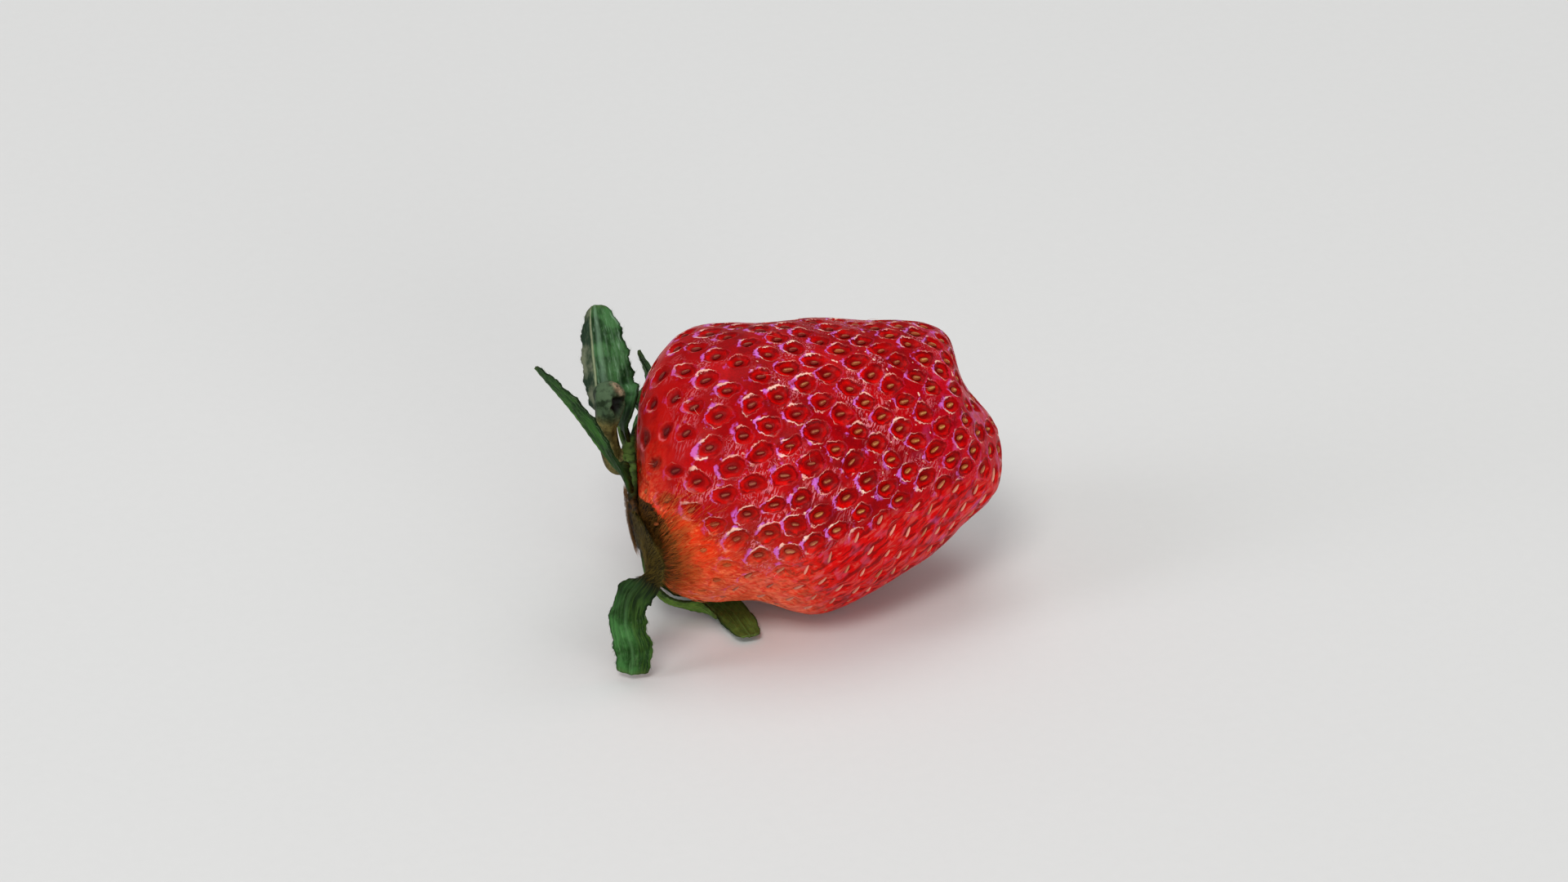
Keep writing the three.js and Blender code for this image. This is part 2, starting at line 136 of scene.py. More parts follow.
def skin(d):
    """The smooth skin in each direction of the layout sphere, whose pole -X is the leafy end."""
    alpha, phi = angles(d)
    top, low = outline_point(alpha), outline_point(-alpha)
    half, middle = (top - low) / 2, (top + low) / 2
    share = (1 - np.cos(alpha)) / 2
    depth = np.hypot(half[..., 0], half[..., 1])
    depth = depth * (DEPTH_AT_LEAVES + (DEPTH_AT_TIP - DEPTH_AT_LEAVES) * share)
    return np.stack(
        [
            middle[..., 0] + half[..., 0] * np.cos(phi),
            middle[..., 1] + half[..., 1] * np.cos(phi),
            depth * np.sin(phi) + SLANT * np.cos(alpha),
        ],
        -1,
    )


def tangents(d):
    side = unit(np.cross(np.array([-1.0, 0.0, 0.0]), d))
    return unit(np.cross(side, d)), side


def surface_frame(d, step=0.02):
    """Unit vectors on the skin away from the leafy end, round it, and out of it."""
    down, side = tangents(d)
    a = skin(unit(d + down * step)) - skin(unit(d - down * step))
    b = skin(unit(d + side * step)) - skin(unit(d - side * step))
    normal = unit(np.cross(a, b))
    normal = normal * np.where(np.sum(normal * skin(d), -1) < 0, -1.0, 1.0)[..., None]
    return unit(a), unit(b), normal


def wave(p):
    ripple = (
        np.sin(0.42 * p[..., 0] + 0.9) * np.sin(0.38 * p[..., 1] + 0.4)
        + 0.8 * np.sin(0.31 * p[..., 2] + 0.5 * p[..., 0] + 2.1)
        - 1
    )
    away = np.linalg.norm(p - BULGE_AT, axis=-1) / BULGE_RADIUS
    return SKIN_WAVE * ripple + BULGE * np.exp(-away * away)


def raised(d, height):
    p = skin(d)
    normal = surface_frame(d)[2]
    return p + normal * (np.asarray(height) + wave(p))[..., None]


def crown_reach(phi):
    skew = 3 * np.cos(phi - math.radians(140))
    return np.radians(16 + skew + 0.8 * np.cos(5 * phi + 0.4))


def hash01(n):
    x = np.sin(n * 12.9898 + 4.1) * 43758.5453
    return x - np.floor(x)


def seed_directions():
    """Each seed's direction from a spiral rule, with the turn and the shape of its well."""
    i = np.arange(SEEDS)
    g, behind = SEEDS_TIPWARD, 2 * (i + 0.5) / SEEDS
    x = (np.sqrt(1 - 2 * g * (1 - g / 2 - behind)) - 1) / g
    r = np.sqrt(1 - x * x)
    turn = i * GOLDEN_ANGLE
    d = np.stack([x, r * np.cos(turn), r * np.sin(turn)], -1)
    down, side = tangents(d)
    spread = SEED_JITTER * math.sqrt(4 * math.pi / SEEDS)
    d = d + down * ((hash01(i) - 0.5) * spread)[:, None]
    d = unit(d + side * ((hash01(i + 0.37) - 0.5) * spread)[:, None])
    alpha, phi = angles(d)
    bare = (alpha < crown_reach(phi) - 0.02) | (place(skin(d))[:, 2] < BARE_BELOW)
    d = d[~bare]
    rng = np.random.default_rng(11)
    zones = zone_values(d, skin(d))
    size = rng.uniform(0.84, 1.22, len(d))
    return {
        "way": d,
        "yaw": rng.normal(0.18, 0.14, len(d)) + 0.75 * zones["belly"] + 0.2 * zones["calm"],
        "long": WELL_LONG * size * (1 + rng.normal(0, 0.08, len(d))),
        "wide": WELL_WIDE * size * (1 + rng.normal(0, 0.08, len(d))),
        "luck": rng.random(len(d)),
        "lobe": rng.uniform(0, TAU, (len(d), 2)),
    }


# ---- meshes ---------------------------------------------------------------------------------
def make_object(name, points, faces, material, nodes=(), values=None):
    """A piece from points in row-frame millimetres and faces of one size, with point values."""
    mesh = bpy.data.meshes.new(name)
    faces = np.asarray(faces, np.int32)
    sides = faces.shape[1]
    mesh.vertices.add(len(points))
    mesh.vertices.foreach_set("co", (points * MM).astype(np.float32).ravel())
    mesh.loops.add(faces.size)
    mesh.loops.foreach_set("vertex_index", faces.ravel())
    mesh.polygons.add(len(faces))
    mesh.polygons.foreach_set("loop_start", np.arange(0, faces.size, sides, dtype=np.int32))
    mesh.update(calc_edges=True)
    mesh.polygons.foreach_set("use_smooth", np.ones(len(faces), bool))
    for key, value in (values or {}).items():
        layer = mesh.attributes.new(key, "FLOAT", "POINT")
        layer.data.foreach_set("value", np.asarray(value, np.float32))
    mesh.validate()
    mesh.update()
    made = bpy.data.objects.new(name, mesh)
    bpy.context.scene.collection.objects.link(made)
    made.data.materials.append(material)
    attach(made, "root")
    if nodes:
        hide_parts(*nodes)
    return made


def point_normals(points, faces):
    """Unit normals at the points of a mesh of triangles or quads, from the faces round each."""
    corners = points[faces]
    face = np.cross(corners[:, -2] - corners[:, 0], corners[:, -1] - corners[:, -3])
    total = np.zeros_like(points)
    for k in range(faces.shape[1]):
        np.add.at(total, faces[:, k], face)
    return unit(total)


def facing_out(points, faces, ring, out):
    """The faces, turned over if those at the points of a ring look against out."""
    inwards = np.sum(point_normals(points, faces)[ring] * out) < 0
    return faces[:, ::-1] if inwards else faces


def quad_sphere(n):
    """Unit directions and outward quads of a cube blown up to a sphere, n quads to a side."""
    t = np.tan(np.linspace(-math.pi / 4, math.pi / 4, n + 1))
    a, b = np.meshgrid(t, t, indexing="ij")
    one = np.ones_like(a)
    index = np.arange((n + 1) ** 2).reshape(n + 1, n + 1)
    quads = np.stack([index[:-1, :-1], index[1:, :-1], index[1:, 1:], index[:-1, 1:]], -1)
    quads = quads.reshape(-1, 4)
    points, faces = [], []
    for axis in range(3):
        for way in (1, -1):
            grid = [None, None, None]
            grid[axis] = way * one
            grid[(axis + 1) % 3] = a
            grid[(axis + 2) % 3] = b
            faces.append((quads if way > 0 else quads[:, ::-1]) + len(points) * (n + 1) ** 2)
            points.append(np.stack(grid, -1).reshape(-1, 3))
    points, faces = np.concatenate(points), np.concatenate(faces)
    key = np.round(points * 1e5).astype(np.int64)
    _, first, back = np.unique(key, axis=0, return_index=True, return_inverse=True)
    return unit(points[first]), back.ravel()[faces]


def wall_faces(rings, sides):
    """Point numbers of a tube's rings, the same one place round, and the walls between them."""
    at = np.arange(rings * sides).reshape(rings, sides)
    ahead = np.roll(at, -1, axis=1)
    halves = [[at[:-1], ahead[:-1], ahead[1:]], [at[:-1], ahead[1:], at[1:]]]
    return at, ahead, np.concatenate([np.stack(half, -1).reshape(-1, 3) for half in halves])


def tube_faces(count, rings, sides):
    """The triangles of a number of tubes, closed at both ends."""
    at, _, walls = wall_faces(rings, sides)
    caps = []
    for k in range(1, sides - 1):
        caps.append([at[0, 0], at[0, k + 1], at[0, k]])
        caps.append([at[-1, 0], at[-1, k], at[-1, k + 1]])
    one = np.concatenate([walls, np.array(caps)])
    first = np.arange(count) * rings * sides
    return (one[None] + first[:, None, None]).reshape(-1, 3)


def tubes(paths, radii, normals):
    """Closed tapered tubes. paths is hairs x stations x 3, radii hairs x stations."""
    along = unit(np.gradient(paths, axis=1))
    across = unit(np.cross(along, normals))
    out = np.cross(across, along)
    turn = TAU * np.arange(HAIR_SIDES) / HAIR_SIDES
    ring = (
        across[:, :, None] * np.cos(turn)[:, None] + out[:, :, None] * np.sin(turn)[:, None]
    ) * radii[:, :, None, None]
    return (paths[:, :, None] + ring).reshape(-1, 3), tube_faces(*paths.shape[:2], HAIR_SIDES)


# ---- materials ------------------------------------------------------------------------------
class Paint:
    """A node material, built by calls that return sockets."""

    def __init__(self, name):
        self.material = bpy.data.materials.new(name)
        self.material.use_nodes = True
        self.tree = self.material.node_tree
        self.shader = self.tree.nodes["Principled BSDF"]
        self.where = self.node("ShaderNodeTexCoord").outputs["Object"]

    def node(self, kind, **settings):
        made = self.tree.nodes.new(kind)
        for key, value in settings.items():
            setattr(made, key, value)
        return made

    def feed(self, socket, value):
        if isinstance(value, bpy.types.NodeSocket):
            self.tree.links.new(value, socket)
        elif isinstance(value, tuple) and len(value) == 3 and socket.type == "RGBA":
            socket.default_value = (*value, 1.0)
        else:
            socket.default_value = value

    def math(self, operation, a, b=0.0, c=0.0, clamp=False):
        made = self.node("ShaderNodeMath", operation=operation, use_clamp=clamp)
        for socket, value in zip(made.inputs, (a, b, c)):
            self.feed(socket, value)
        return made.outputs[0]

    def times(self, *values):
        """The product of sockets, numbers and point values given by name."""
        values = [self.value(x) if isinstance(x, str) else x for x in values]
        total = values[0]
        for value in values[1:]:
            total = self.math("MULTIPLY", total, value)
        return total

    def scaled(self, value, gain, plus):
        return self.math("MULTIPLY_ADD", value, gain, plus)

    def inverse(self, value):
        return self.math("SUBTRACT", 1.0, value)

    def swing(self, value, gain, middle=0.5):
        return self.times(self.math("SUBTRACT", value, middle), gain)

    def step(self, value, low, high):
        """Smooth 0..1 as value goes from low to high, or back if high is the smaller."""
        made = self.node("ShaderNodeMapRange", interpolation_type="SMOOTHSTEP")
        self.feed(made.inputs["Value"], value)
        flipped = low > high
        made.inputs["From Min"].default_value = min(low, high)
        made.inputs["From Max"].default_value = max(low, high)
        made.inputs["To Min"].default_value = 1.0 if flipped else 0.0
        made.inputs["To Max"].default_value = 0.0 if flipped else 1.0
        return made.outputs["Result"]

    def band(self, value, centre, half):
        """1 at centre, falling smoothly to 0 at half away from it."""
        away = self.math("ABSOLUTE", self.math("SUBTRACT", value, centre))
        return self.step(away, half, 0.0)

    def mix(self, factor, a, b, blend="MIX"):
        made = self.node("ShaderNodeMix", data_type="RGBA", blend_type=blend)
        self.feed(made.inputs[0], factor)
        self.feed(made.inputs[6], a)
        self.feed(made.inputs[7], b)
        return made.outputs[2]

    def between(self, value, low, high, a, b):
        """Colour a where value is at low, turning smoothly to b where it is at high."""
        return self.mix(self.step(value, low, high), a, b)

    def over(self, base, color, *masks):
        """A colour laid over base, as strongly as the product of the masks."""
        return self.mix(self.times(*masks), base, color)

    def value(self, name):
        return self.node("ShaderNodeAttribute", attribute_name=name).outputs["Fac"]

    def values(self, *names):
        return [self.value(name) for name in names]

    def grain(self, degrees, shrink):
        """Coordinates whose x runs at an angle across the broad side, squeezed by shrink."""
        turn = math.radians(degrees)
        x = ALONG_U * math.cos(turn) + UP_V * math.sin(turn)
        axes = Matrix(np.stack([x, np.cross(OUT_W, x), OUT_W], 1).tolist())
        made = self.node("ShaderNodeMapping", vector_type="TEXTURE")
        self.feed(made.inputs["Vector"], self.where)
        made.inputs["Rotation"].default_value = axes.to_euler()
        made.inputs["Scale"].default_value = shrink
        return made.outputs["Vector"]

    def combined(self, x, y):
        made = self.node("ShaderNodeCombineXYZ")
        self.feed(made.inputs[0], x)
        self.feed(made.inputs[1], y)
        return made.outputs[0]

    def noise(self, size_mm, detail=3.0, roughness=0.55, distortion=0.0, vector=None):
        made = self.node("ShaderNodeTexNoise")
        self.feed(made.inputs["Vector"], vector if vector is not None else self.where)
        made.inputs["Scale"].default_value = 1000.0 / size_mm
        made.inputs["Detail"].default_value = detail
        made.inputs["Roughness"].default_value = roughness
        made.inputs["Distortion"].default_value = distortion
        return made.outputs["Fac"]

    def bumps(self, *layers):
        """Bumps one on the other, each with its height, its distance in mm and its strength."""
        normal = None
        for height, distance_mm, strength in layers:
            made = self.node("ShaderNodeBump")
            self.feed(made.inputs["Height"], height)
            made.inputs["Distance"].default_value = distance_mm * MM
            made.inputs["Strength"].default_value = strength
            if normal is not None:
                self.feed(made.inputs["Normal"], normal)
            normal = made.outputs["Normal"]
        return normal

    def finish(self, color, roughness, normal=None, **constants):
        self.feed(self.shader.inputs["Base Color"], color)
        self.feed(self.shader.inputs["Roughness"], roughness)
        if normal is not None:
            self.feed(self.shader.inputs["Normal"], normal)
        for key, value in constants.items():
            self.feed(self.shader.inputs[key.replace("_", " ")], value)
        return self.material


def rgb(red, green, blue):
    """A colour given in the usual 0..255 screen values."""
    def linear(c):
        c = c / 255
        return c / 12.92 if c <= 0.04045 else ((c + 0.055) / 1.055) ** 2.4
    return (linear(red), linear(green), linear(blue))


def fruit_material():
    p = Paint("strawberry_skin")
    cell, left, up, ripe = p.values("cell", "leftward", "upward", "ripe")
    collar, luck, tip = p.values("collar", "luck", "tipward")
    salmon, belly, calm = p.values("salmon", "belly", "calm")
    medium, fine = p.noise(1.6, 4.0), p.noise(0.42, 3.0)
    wobble = p.swing(p.noise(0.8, 4.0, 0.62), 0.8)
    ring = p.math("ADD", p.value("ring"), wobble)
    lively = p.times(p.inverse(p.math("MAXIMUM", belly, calm)), ripe, p.inverse(collar))

    # Between the wells: a duller red, pinker at the tip, darker in soft patches.
    flesh = p.between(p.noise(7.0, 3.0), 0.35, 0.65, rgb(150, 0, 6), rgb(182, 4, 12))
    flesh = p.over(flesh, rgb(208, 8, 36), tip, 0.6)
    flesh = p.over(flesh, rgb(104, 0, 8), p.step(medium, 0.45, 0.7), 0.6)
    # Each seed lies in an oval well of clear red, with painted shade close round the seed, under the
    # well's top edge, just inside its rim and on its tipward side.
    well = p.between(medium, 0.35, 0.65, rgb(228, 4, 2), rgb(184, 0, 0))
    well = p.over(well, rgb(104, 0, 2), p.step(up, 0.1, 0.8), p.step(cell, 0.5, 0.9), 0.5)
    broken = p.step(p.noise(1.4, 1.0), 0.35, 0.55)
    well = p.over(well, rgb(70, 0, 8), p.band(ring, 0.93, 0.17), broken, 0.75)
    well = p.over(well, rgb(112, 0, 6), p.step(left, 0.1, -0.7), p.step(cell, 0.35, 0.7), 0.4)
    flesh = p.between(ring, 1.08, 0.94, flesh, well)
    flesh = p.over(flesh, rgb(80, 0, 4), p.step(cell, 0.72, 0.45), ripe, 0.65)
    flesh = p.over(flesh, rgb(92, 0, 2), p.step(p.noise(0.24, 2.0, 0.7), 0.4, 0.66), 0.3)
    # The belly is smoother, in long soft streaks of brownish and clear red, with pale streaks of
    # painted highlight and soft lilac patches of painted sheen.
    flow = p.noise(0.6, 3.0, 0.6, 0.2, p.grain(38, (5.0, 1.0, 1.0)))
    sleek = p.between(flow, 0.4, 0.5, rgb(132, 6, 6), rgb(210, 4, 4))
    sleek = p.over(sleek, rgb(216, 84, 72), p.step(flow, 0.54, 0.64), 0.7)
    lilac_sheen = p.step(p.noise(1.7, 2.0), 0.48, 0.64)
    sleek = p.over(sleek, rgb(212, 92, 120), lilac_sheen, p.step(left, -0.5, 0.5), 0.35)
    flesh = p.over(flesh, sleek, belly, 0.85)
    # The calm part of the shoulder: dull red, with its wells painted as dark slots of shade and a few
    # sparks of painted highlight.
    soft = p.between(medium, 0.25, 0.65, rgb(146, 6, 6), rgb(186, 16, 10))
    flesh = p.over(flesh, soft, calm, 0.8)
    slot_shade = p.step(p.math("ADD", cell, wobble), 1.05, 0.45)
    flesh = p.over(flesh, rgb(80, 0, 8), slot_shade, calm, 0.85)
    spark_highlight = p.times(p.band(ring, 0.95, 0.22), p.step(left, 0.1, 0.7), p.step(up, 0.3, -0.3), calm)
    flesh = p.over(flesh, rgb(240, 140, 150), spark_highlight, p.step(luck, 0.3, 0.6), 0.6)
    # The unripe part: orange, then salmon, both in strokes that look like fine hair.
    shoulder = p.inverse(ripe)
    patchy = p.math("ADD", shoulder, p.swing(medium, 0.9))
    orange = p.between(p.noise(2.4, 3.0), 0.4, 0.62, rgb(234, 46, 4), rgb(208, 40, 8))
    flesh = p.between(patchy, 0.25, 0.95, flesh, orange)
    strokes = [
        p.noise(0.34, 3.0, 0.6, 0.25, p.grain(degrees, (4.5, 1.0, 1.0))) for degrees in (33, -30)
    ]
    fuzz = p.mix(p.value("low"), *strokes)
    pale_skin = p.between(fuzz, 0.36, 0.64, rgb(228, 66, 34), rgb(255, 136, 94))
    flesh = p.over(flesh, pale_skin, salmon, p.step(medium, 0.15, 0.5))
    hairy = p.step(shoulder, 0.2, 0.7)
    # Pale strokes there are painted highlights on fine hair; the dark strokes are the hair's own brown.
    flesh = p.over(flesh, rgb(252, 142, 88), p.step(fuzz, 0.56, 0.68), hairy, 0.6)
    flesh = p.over(flesh, rgb(118, 26, 6), p.step(fuzz, 0.42, 0.3), hairy, 0.55)

    # Painted highlights: pale lines that catch the light at the rim of each well, brightest at its
    # leafy side, lilac glints beside it, fine curls and combed strokes on the flesh between, pale dots
    # where wells meet, and a lilac sheen at the tip.
    toward = p.scaled(up, p.swing(p.noise(9.0, 1.0), 4.0, 0.42), left)
    thick = p.scaled(p.times(p.step(toward, 0.1, 1.0), luck), 0.17, 0.05)
    thick = p.scaled(p.step(p.noise(0.9, 1.0), 0.45, 0.65), 0.05, thick)
    frayed = p.scaled(p.math("SUBTRACT", p.noise(0.36, 2.0), 0.5), 0.3, ring)
    away = p.math("ABSOLUTE", p.math("SUBTRACT", frayed, 1.1))
    rim = p.times(
        p.step(p.math("DIVIDE", away, thick), 1.0, 0.4),
        p.scaled(p.step(toward, -0.45, 0.35), 0.93, 0.07),
        p.step(p.noise(1.9, 1.5), 0.36, 0.46), lively, p.inverse(p.times(tip, 0.4)),
    )
    glint = p.times(
        p.step(toward, 0.3, 0.9), p.step(ring, 1.06, 1.16), p.step(ring, 1.8, 1.3),
        p.step(p.noise(1.2, 2.0, 0.6), 0.5, 0.62), lively, p.inverse(p.times(tip, 0.5)),
    )
    curl = p.noise(1.35, 2.0, 0.5, 0.5, p.grain(0, (0.6, 1.05, 1.05)))
    curl = p.band(p.math("FRACT", p.times(curl, 8.0)), 0.5, 0.22)
    combed = p.step(p.noise(0.21, 2.0, 0.5, 0.3, p.grain(70, (5.0, 1.0, 1.0))), 0.5, 0.57)
    squiggle_highlight = p.times(
        p.between(p.noise(4.1, 1.0), 0.42, 0.52, curl, combed), p.step(ring, 1.02, 1.16),
        p.step(p.noise(4.5, 1.5), 0.48, 0.62), lively, p.inverse(p.times(tip, 0.7)),
    )
    cream_highlight = p.mix(luck, rgb(250, 168, 152), rgb(255, 216, 194))
    line = p.between(p.math("ABSOLUTE", up), 0.3, 0.8, rgb(208, 106, 196), cream_highlight)
    stroke = p.mix(p.noise(2.2), rgb(250, 142, 124), rgb(214, 112, 150))
    flesh = p.over(flesh, stroke, squiggle_highlight, 0.68)
    flesh = p.over(flesh, rgb(202, 104, 208), glint, 0.85)
    flesh = p.over(flesh, line, rim, p.scaled(luck, 0.35, 0.63))
    dot = p.times("knot", p.step(p.noise(0.9, 1.0), 0.58, 0.64), lively)
    flesh = p.over(flesh, rgb(252, 206, 190), p.step(dot, 0.45, 0.8), 0.8)
    sheen = p.step(p.noise(3.4, 3.0, 0.6, 0.8), 0.52, 0.7)
    flesh = p.over(flesh, rgb(206, 86, 160), tip, sheen, p.step(ring, 1.0, 1.2), 0.5)
    # The brown collar under the leaves: hairy brown skin, darkened further by painted shade from the
    # hairs and leaves over it.
    dark = p.between(fuzz, 0.44, 0.64, rgb(12, 6, 1), rgb(72, 42, 10))
    olive = p.between(fuzz, 0.4, 0.62, rgb(24, 26, 2), rgb(66, 66, 16))
    dark = p.over(dark, olive, "olive", 0.8)
    streaky = p.math("ADD", collar, p.swing(fuzz, 1.1))
    flesh = p.between(streaky, 0.35, 0.7, flesh, dark)

    relief = p.math("MAXIMUM", rim, squiggle_highlight)
    bump = p.bumps((fine, 0.05, 0.3), (medium, 0.12, 0.35), (relief, 0.07, 0.8))
    rough = p.scaled(medium, 0.16, p.scaled(collar, 0.35, 0.26))
    return p.finish(flesh, rough, bump, Specular_IOR_Level=0.05)


def seed_material():
    p = Paint("achene")
    tone, core = p.values("tone", "core")
    grain = p.noise(0.25, 3.0)
    shell = p.between(tone, 0.1, 0.9, rgb(116, 24, 18), rgb(156, 74, 32))
    light = p.between(tone, 0.1, 0.5, rgb(146, 80, 56), rgb(172, 114, 70))
    light = p.between(tone, 0.5, 0.95, light, rgb(194, 144, 78))
    streaky = p.math("ADD", core, p.swing(grain, 1.3))
    color = p.between(streaky, 0.35, 0.85, shell, light)
    # The seed's underside, where it sinks into its well, painted dark as shade.
    color = p.over(color, rgb(84, 2, 4), "foot", 0.85)
    # Seeds darker in the shoulder's slots of painted shade, tan where unripe, and cream on the belly as
    # painted highlight.
    for mask, amount, dark, pale in (
        ("slot_shade", 0.95, rgb(52, 0, 6), rgb(104, 22, 22)),
        ("unripe", 0.75, rgb(170, 66, 26), rgb(206, 124, 70)),
        ("cream_highlight", 0.8, rgb(226, 128, 110), rgb(250, 190, 166)),
    ):
        color = p.over(color, p.mix(grain, dark, pale), mask, amount)
    return p.finish(color, 0.42, p.bumps((grain, 0.06, 0.7)), Specular_IOR_Level=0.12)


def leaf_material(name, dark, light, vein, back):
    p = Paint(name)
    along, veins, root = p.values("along", "veins", "root")
    blot, fine = p.noise(2.6, 3.0), p.noise(0.3, 3.0)
    fibre = p.noise(0.42, 3.0, 0.6, 0.2, p.combined(*p.values("blade_x", "blade_y")))
    color = p.between(blot, 0.37, 0.63, dark, light)
    color = p.over(color, p.mix(0.6, color, rgb(8, 24, 10)), p.step(fibre, 0.48, 0.34), 0.6)
    color = p.over(color, vein, p.step(fibre, 0.54, 0.72), 0.6)
    color = p.over(color, vein, veins, 0.35)
    color = p.over(color, back, "back", 0.5)
    color = p.over(color, rgb(12, 26, 10), "margin", 0.8)
    dusky = p.between(fibre, 0.4, 0.62, rgb(16, 36, 6), rgb(52, 78, 22))
    color = p.over(color, dusky, "dusk", 0.75)
    # The half turned away beyond the fold: its grey-green back, in patches darkened as painted shade.
    inner = p.between(blot, 0.4, 0.62, rgb(30, 48, 34), rgb(112, 114, 94))
    color = p.over(color, inner, "turned_part", 0.85)
    color = p.over(color, rgb(178, 184, 146), "pale_edge", 0.7)
    shaded = p.between(fibre, 0.4, 0.6, rgb(8, 18, 2), rgb(30, 46, 12))
    color = p.over(color, shaded, "shaded", 0.85)
    woolly = p.between(fibre, 0.4, 0.62, rgb(9, 7, 1), rgb(44, 36, 6))
    color = p.over(color, woolly, root, p.step(p.math("ADD", fibre, root), 0.7, 1.2))
    color = p.over(color, rgb(84, 88, 48), p.step(along, 0.96, 1.0), 0.3)
    bump = p.bumps((fine, 0.05, 0.5), (fibre, 0.14, 0.7), (veins, 0.15, 0.5))
    return p.finish(
        color, p.scaled(blot, 0.25, 0.48), bump, Specular_IOR_Level=0.08,
        Subsurface_Weight=0.04, Subsurface_Radius=(0.3, 0.6, 0.2), Subsurface_Scale=0.0006,
    )


def woody_material(name, dark, light, felt_dark, felt_light):
    p = Paint(name)
    blot, fine = p.noise(1.3, 3.0), p.noise(0.3, 4.0)
    color = p.between(blot, 0.35, 0.65, dark, light)
    color = p.over(color, rgb(44, 38, 14), p.step(fine, 0.45, 0.7), 0.6)
    strands = p.noise(0.42, 3.0, 0.6, 0.25, p.grain(50, (4.0, 1.0, 1.0)))
    brown = p.between(strands, 0.42, 0.62, rgb(12, 6, 1), rgb(74, 46, 12))
    color = p.over(color, brown, "wool")
    color = p.over(color, p.between(blot, 0.4, 0.6, felt_dark, felt_light), "shade")
    # Near black in the cut's hollow: painted shade.
    color = p.over(color, p.between(fine, 0.35, 0.6, rgb(2, 4, 1), rgb(8, 14, 5)), "cut")
    color = p.over(color, rgb(160, 134, 108), "lip", p.step(fine, 0.3, 0.6), 0.85)
    bump = p.bumps((fine, 0.08, 0.7), (blot, 0.2, 0.5))
    return p.finish(color, p.scaled(fine, 0.25, 0.55), bump, Specular_IOR_Level=0.2)


def hair_material(name, root, end, roughness=0.5):
    p = Paint(name)
    color = p.between(p.value("along"), 0.0, 0.9, root, end)
    color = p.over(color, end, p.step(p.value("tone"), 0.5, 1.0), 0.5)
    return p.finish(color, roughness, Specular_IOR_Level=0.12)


# ---- the fruit's skin -----------------------------------------------------------------------
WELL_DEPTH = 0.42
WELL_LONG = 1.42  # half-lengths of the oval well round a seed
WELL_WIDE = 1.08
RIM_AT = 1.16  # where the rim of a well runs, 1 being the well's own edge
RIM_HEIGHT = 0.05
CREASE = 14  # how sharply two wells that touch are parted
CHUNK = 8192  # points whose nearest seeds are looked for at a time
# How far the brown collar reaches from the leafy pole, in degrees, at turns round it.
COLLAR_TURN = (0, 88, 96, 101, 112, 124, 138, 152, 166, 186, 205, 360)
COLLAR_EDGE = (18, 18, 21, 35, 42, 45, 47, 44, 35, 24, 18, 18)


def nearest_seeds(points, centres, count=3):
    index = np.empty((len(points), count), int)
    away = np.empty((len(points), count))
    for start in range(0, len(points), CHUNK):
        rows = slice(start, start + CHUNK)
        part = points[rows]
        squared = (
            (part**2).sum(1)[:, None] + (centres**2).sum(1)[None] - 2 * part @ centres.T
        )
        near = np.argpartition(squared, count, axis=1)[:, :count]
        got = np.take_along_axis(squared, near, 1)
        order = np.argsort(got, axis=1)
        index[rows] = np.take_along_axis(near, order, 1)
        away[rows] = np.sqrt(np.maximum(np.take_along_axis(got, order, 1), 0))
    return index, away


def zone_values(d, p):
    """Where the skin is unripe, hair-shaded, salmon, smooth and so on, each 0..1."""
    alpha, phi = angles(d)
    alpha = np.degrees(alpha)
    turn = np.degrees(phi) % 360

    def near(at, spread):
        gap = np.abs((turn - at + 180) % 360 - 180)
        return np.exp(-((gap / spread) ** 2))

    collar_edge = np.interp(turn, COLLAR_TURN, COLLAR_EDGE)
    collar = 1 - smooth(alpha, collar_edge - 4, collar_edge + 3)
    unripe_edge = 30 + 46 * near(138, 40)
    ripe = smooth(alpha, unripe_edge - 22, unripe_edge + 6)
    salmon = near(178, 36) * (1 - smooth(alpha, 76, 100)) * smooth(alpha, 28, 48)
    salmon = np.maximum(salmon, 0.25 * near(95, 26) * (1 - smooth(alpha, 30, 50)))
    belly = smooth(0.45 * (p[:, 0] + 5.9) - 11.3 - p[:, 1], -0.8, 2.2)
    calm = near(70, 48) * (1 - smooth(alpha, 44, 64))
    calm = np.maximum(calm, 0.3 * near(64, 56) * (1 - smooth(alpha, 58, 84)) * ripe)
    return {
        "collar": collar, "ripe": ripe, "salmon": salmon, "belly": belly, "calm": calm,
        "low": smooth(-p[:, 1], 9.0, 12.5),
        "tipward": smooth(p[:, 0], 9, 19), "olive": smooth(turn, 122, 140),
    }


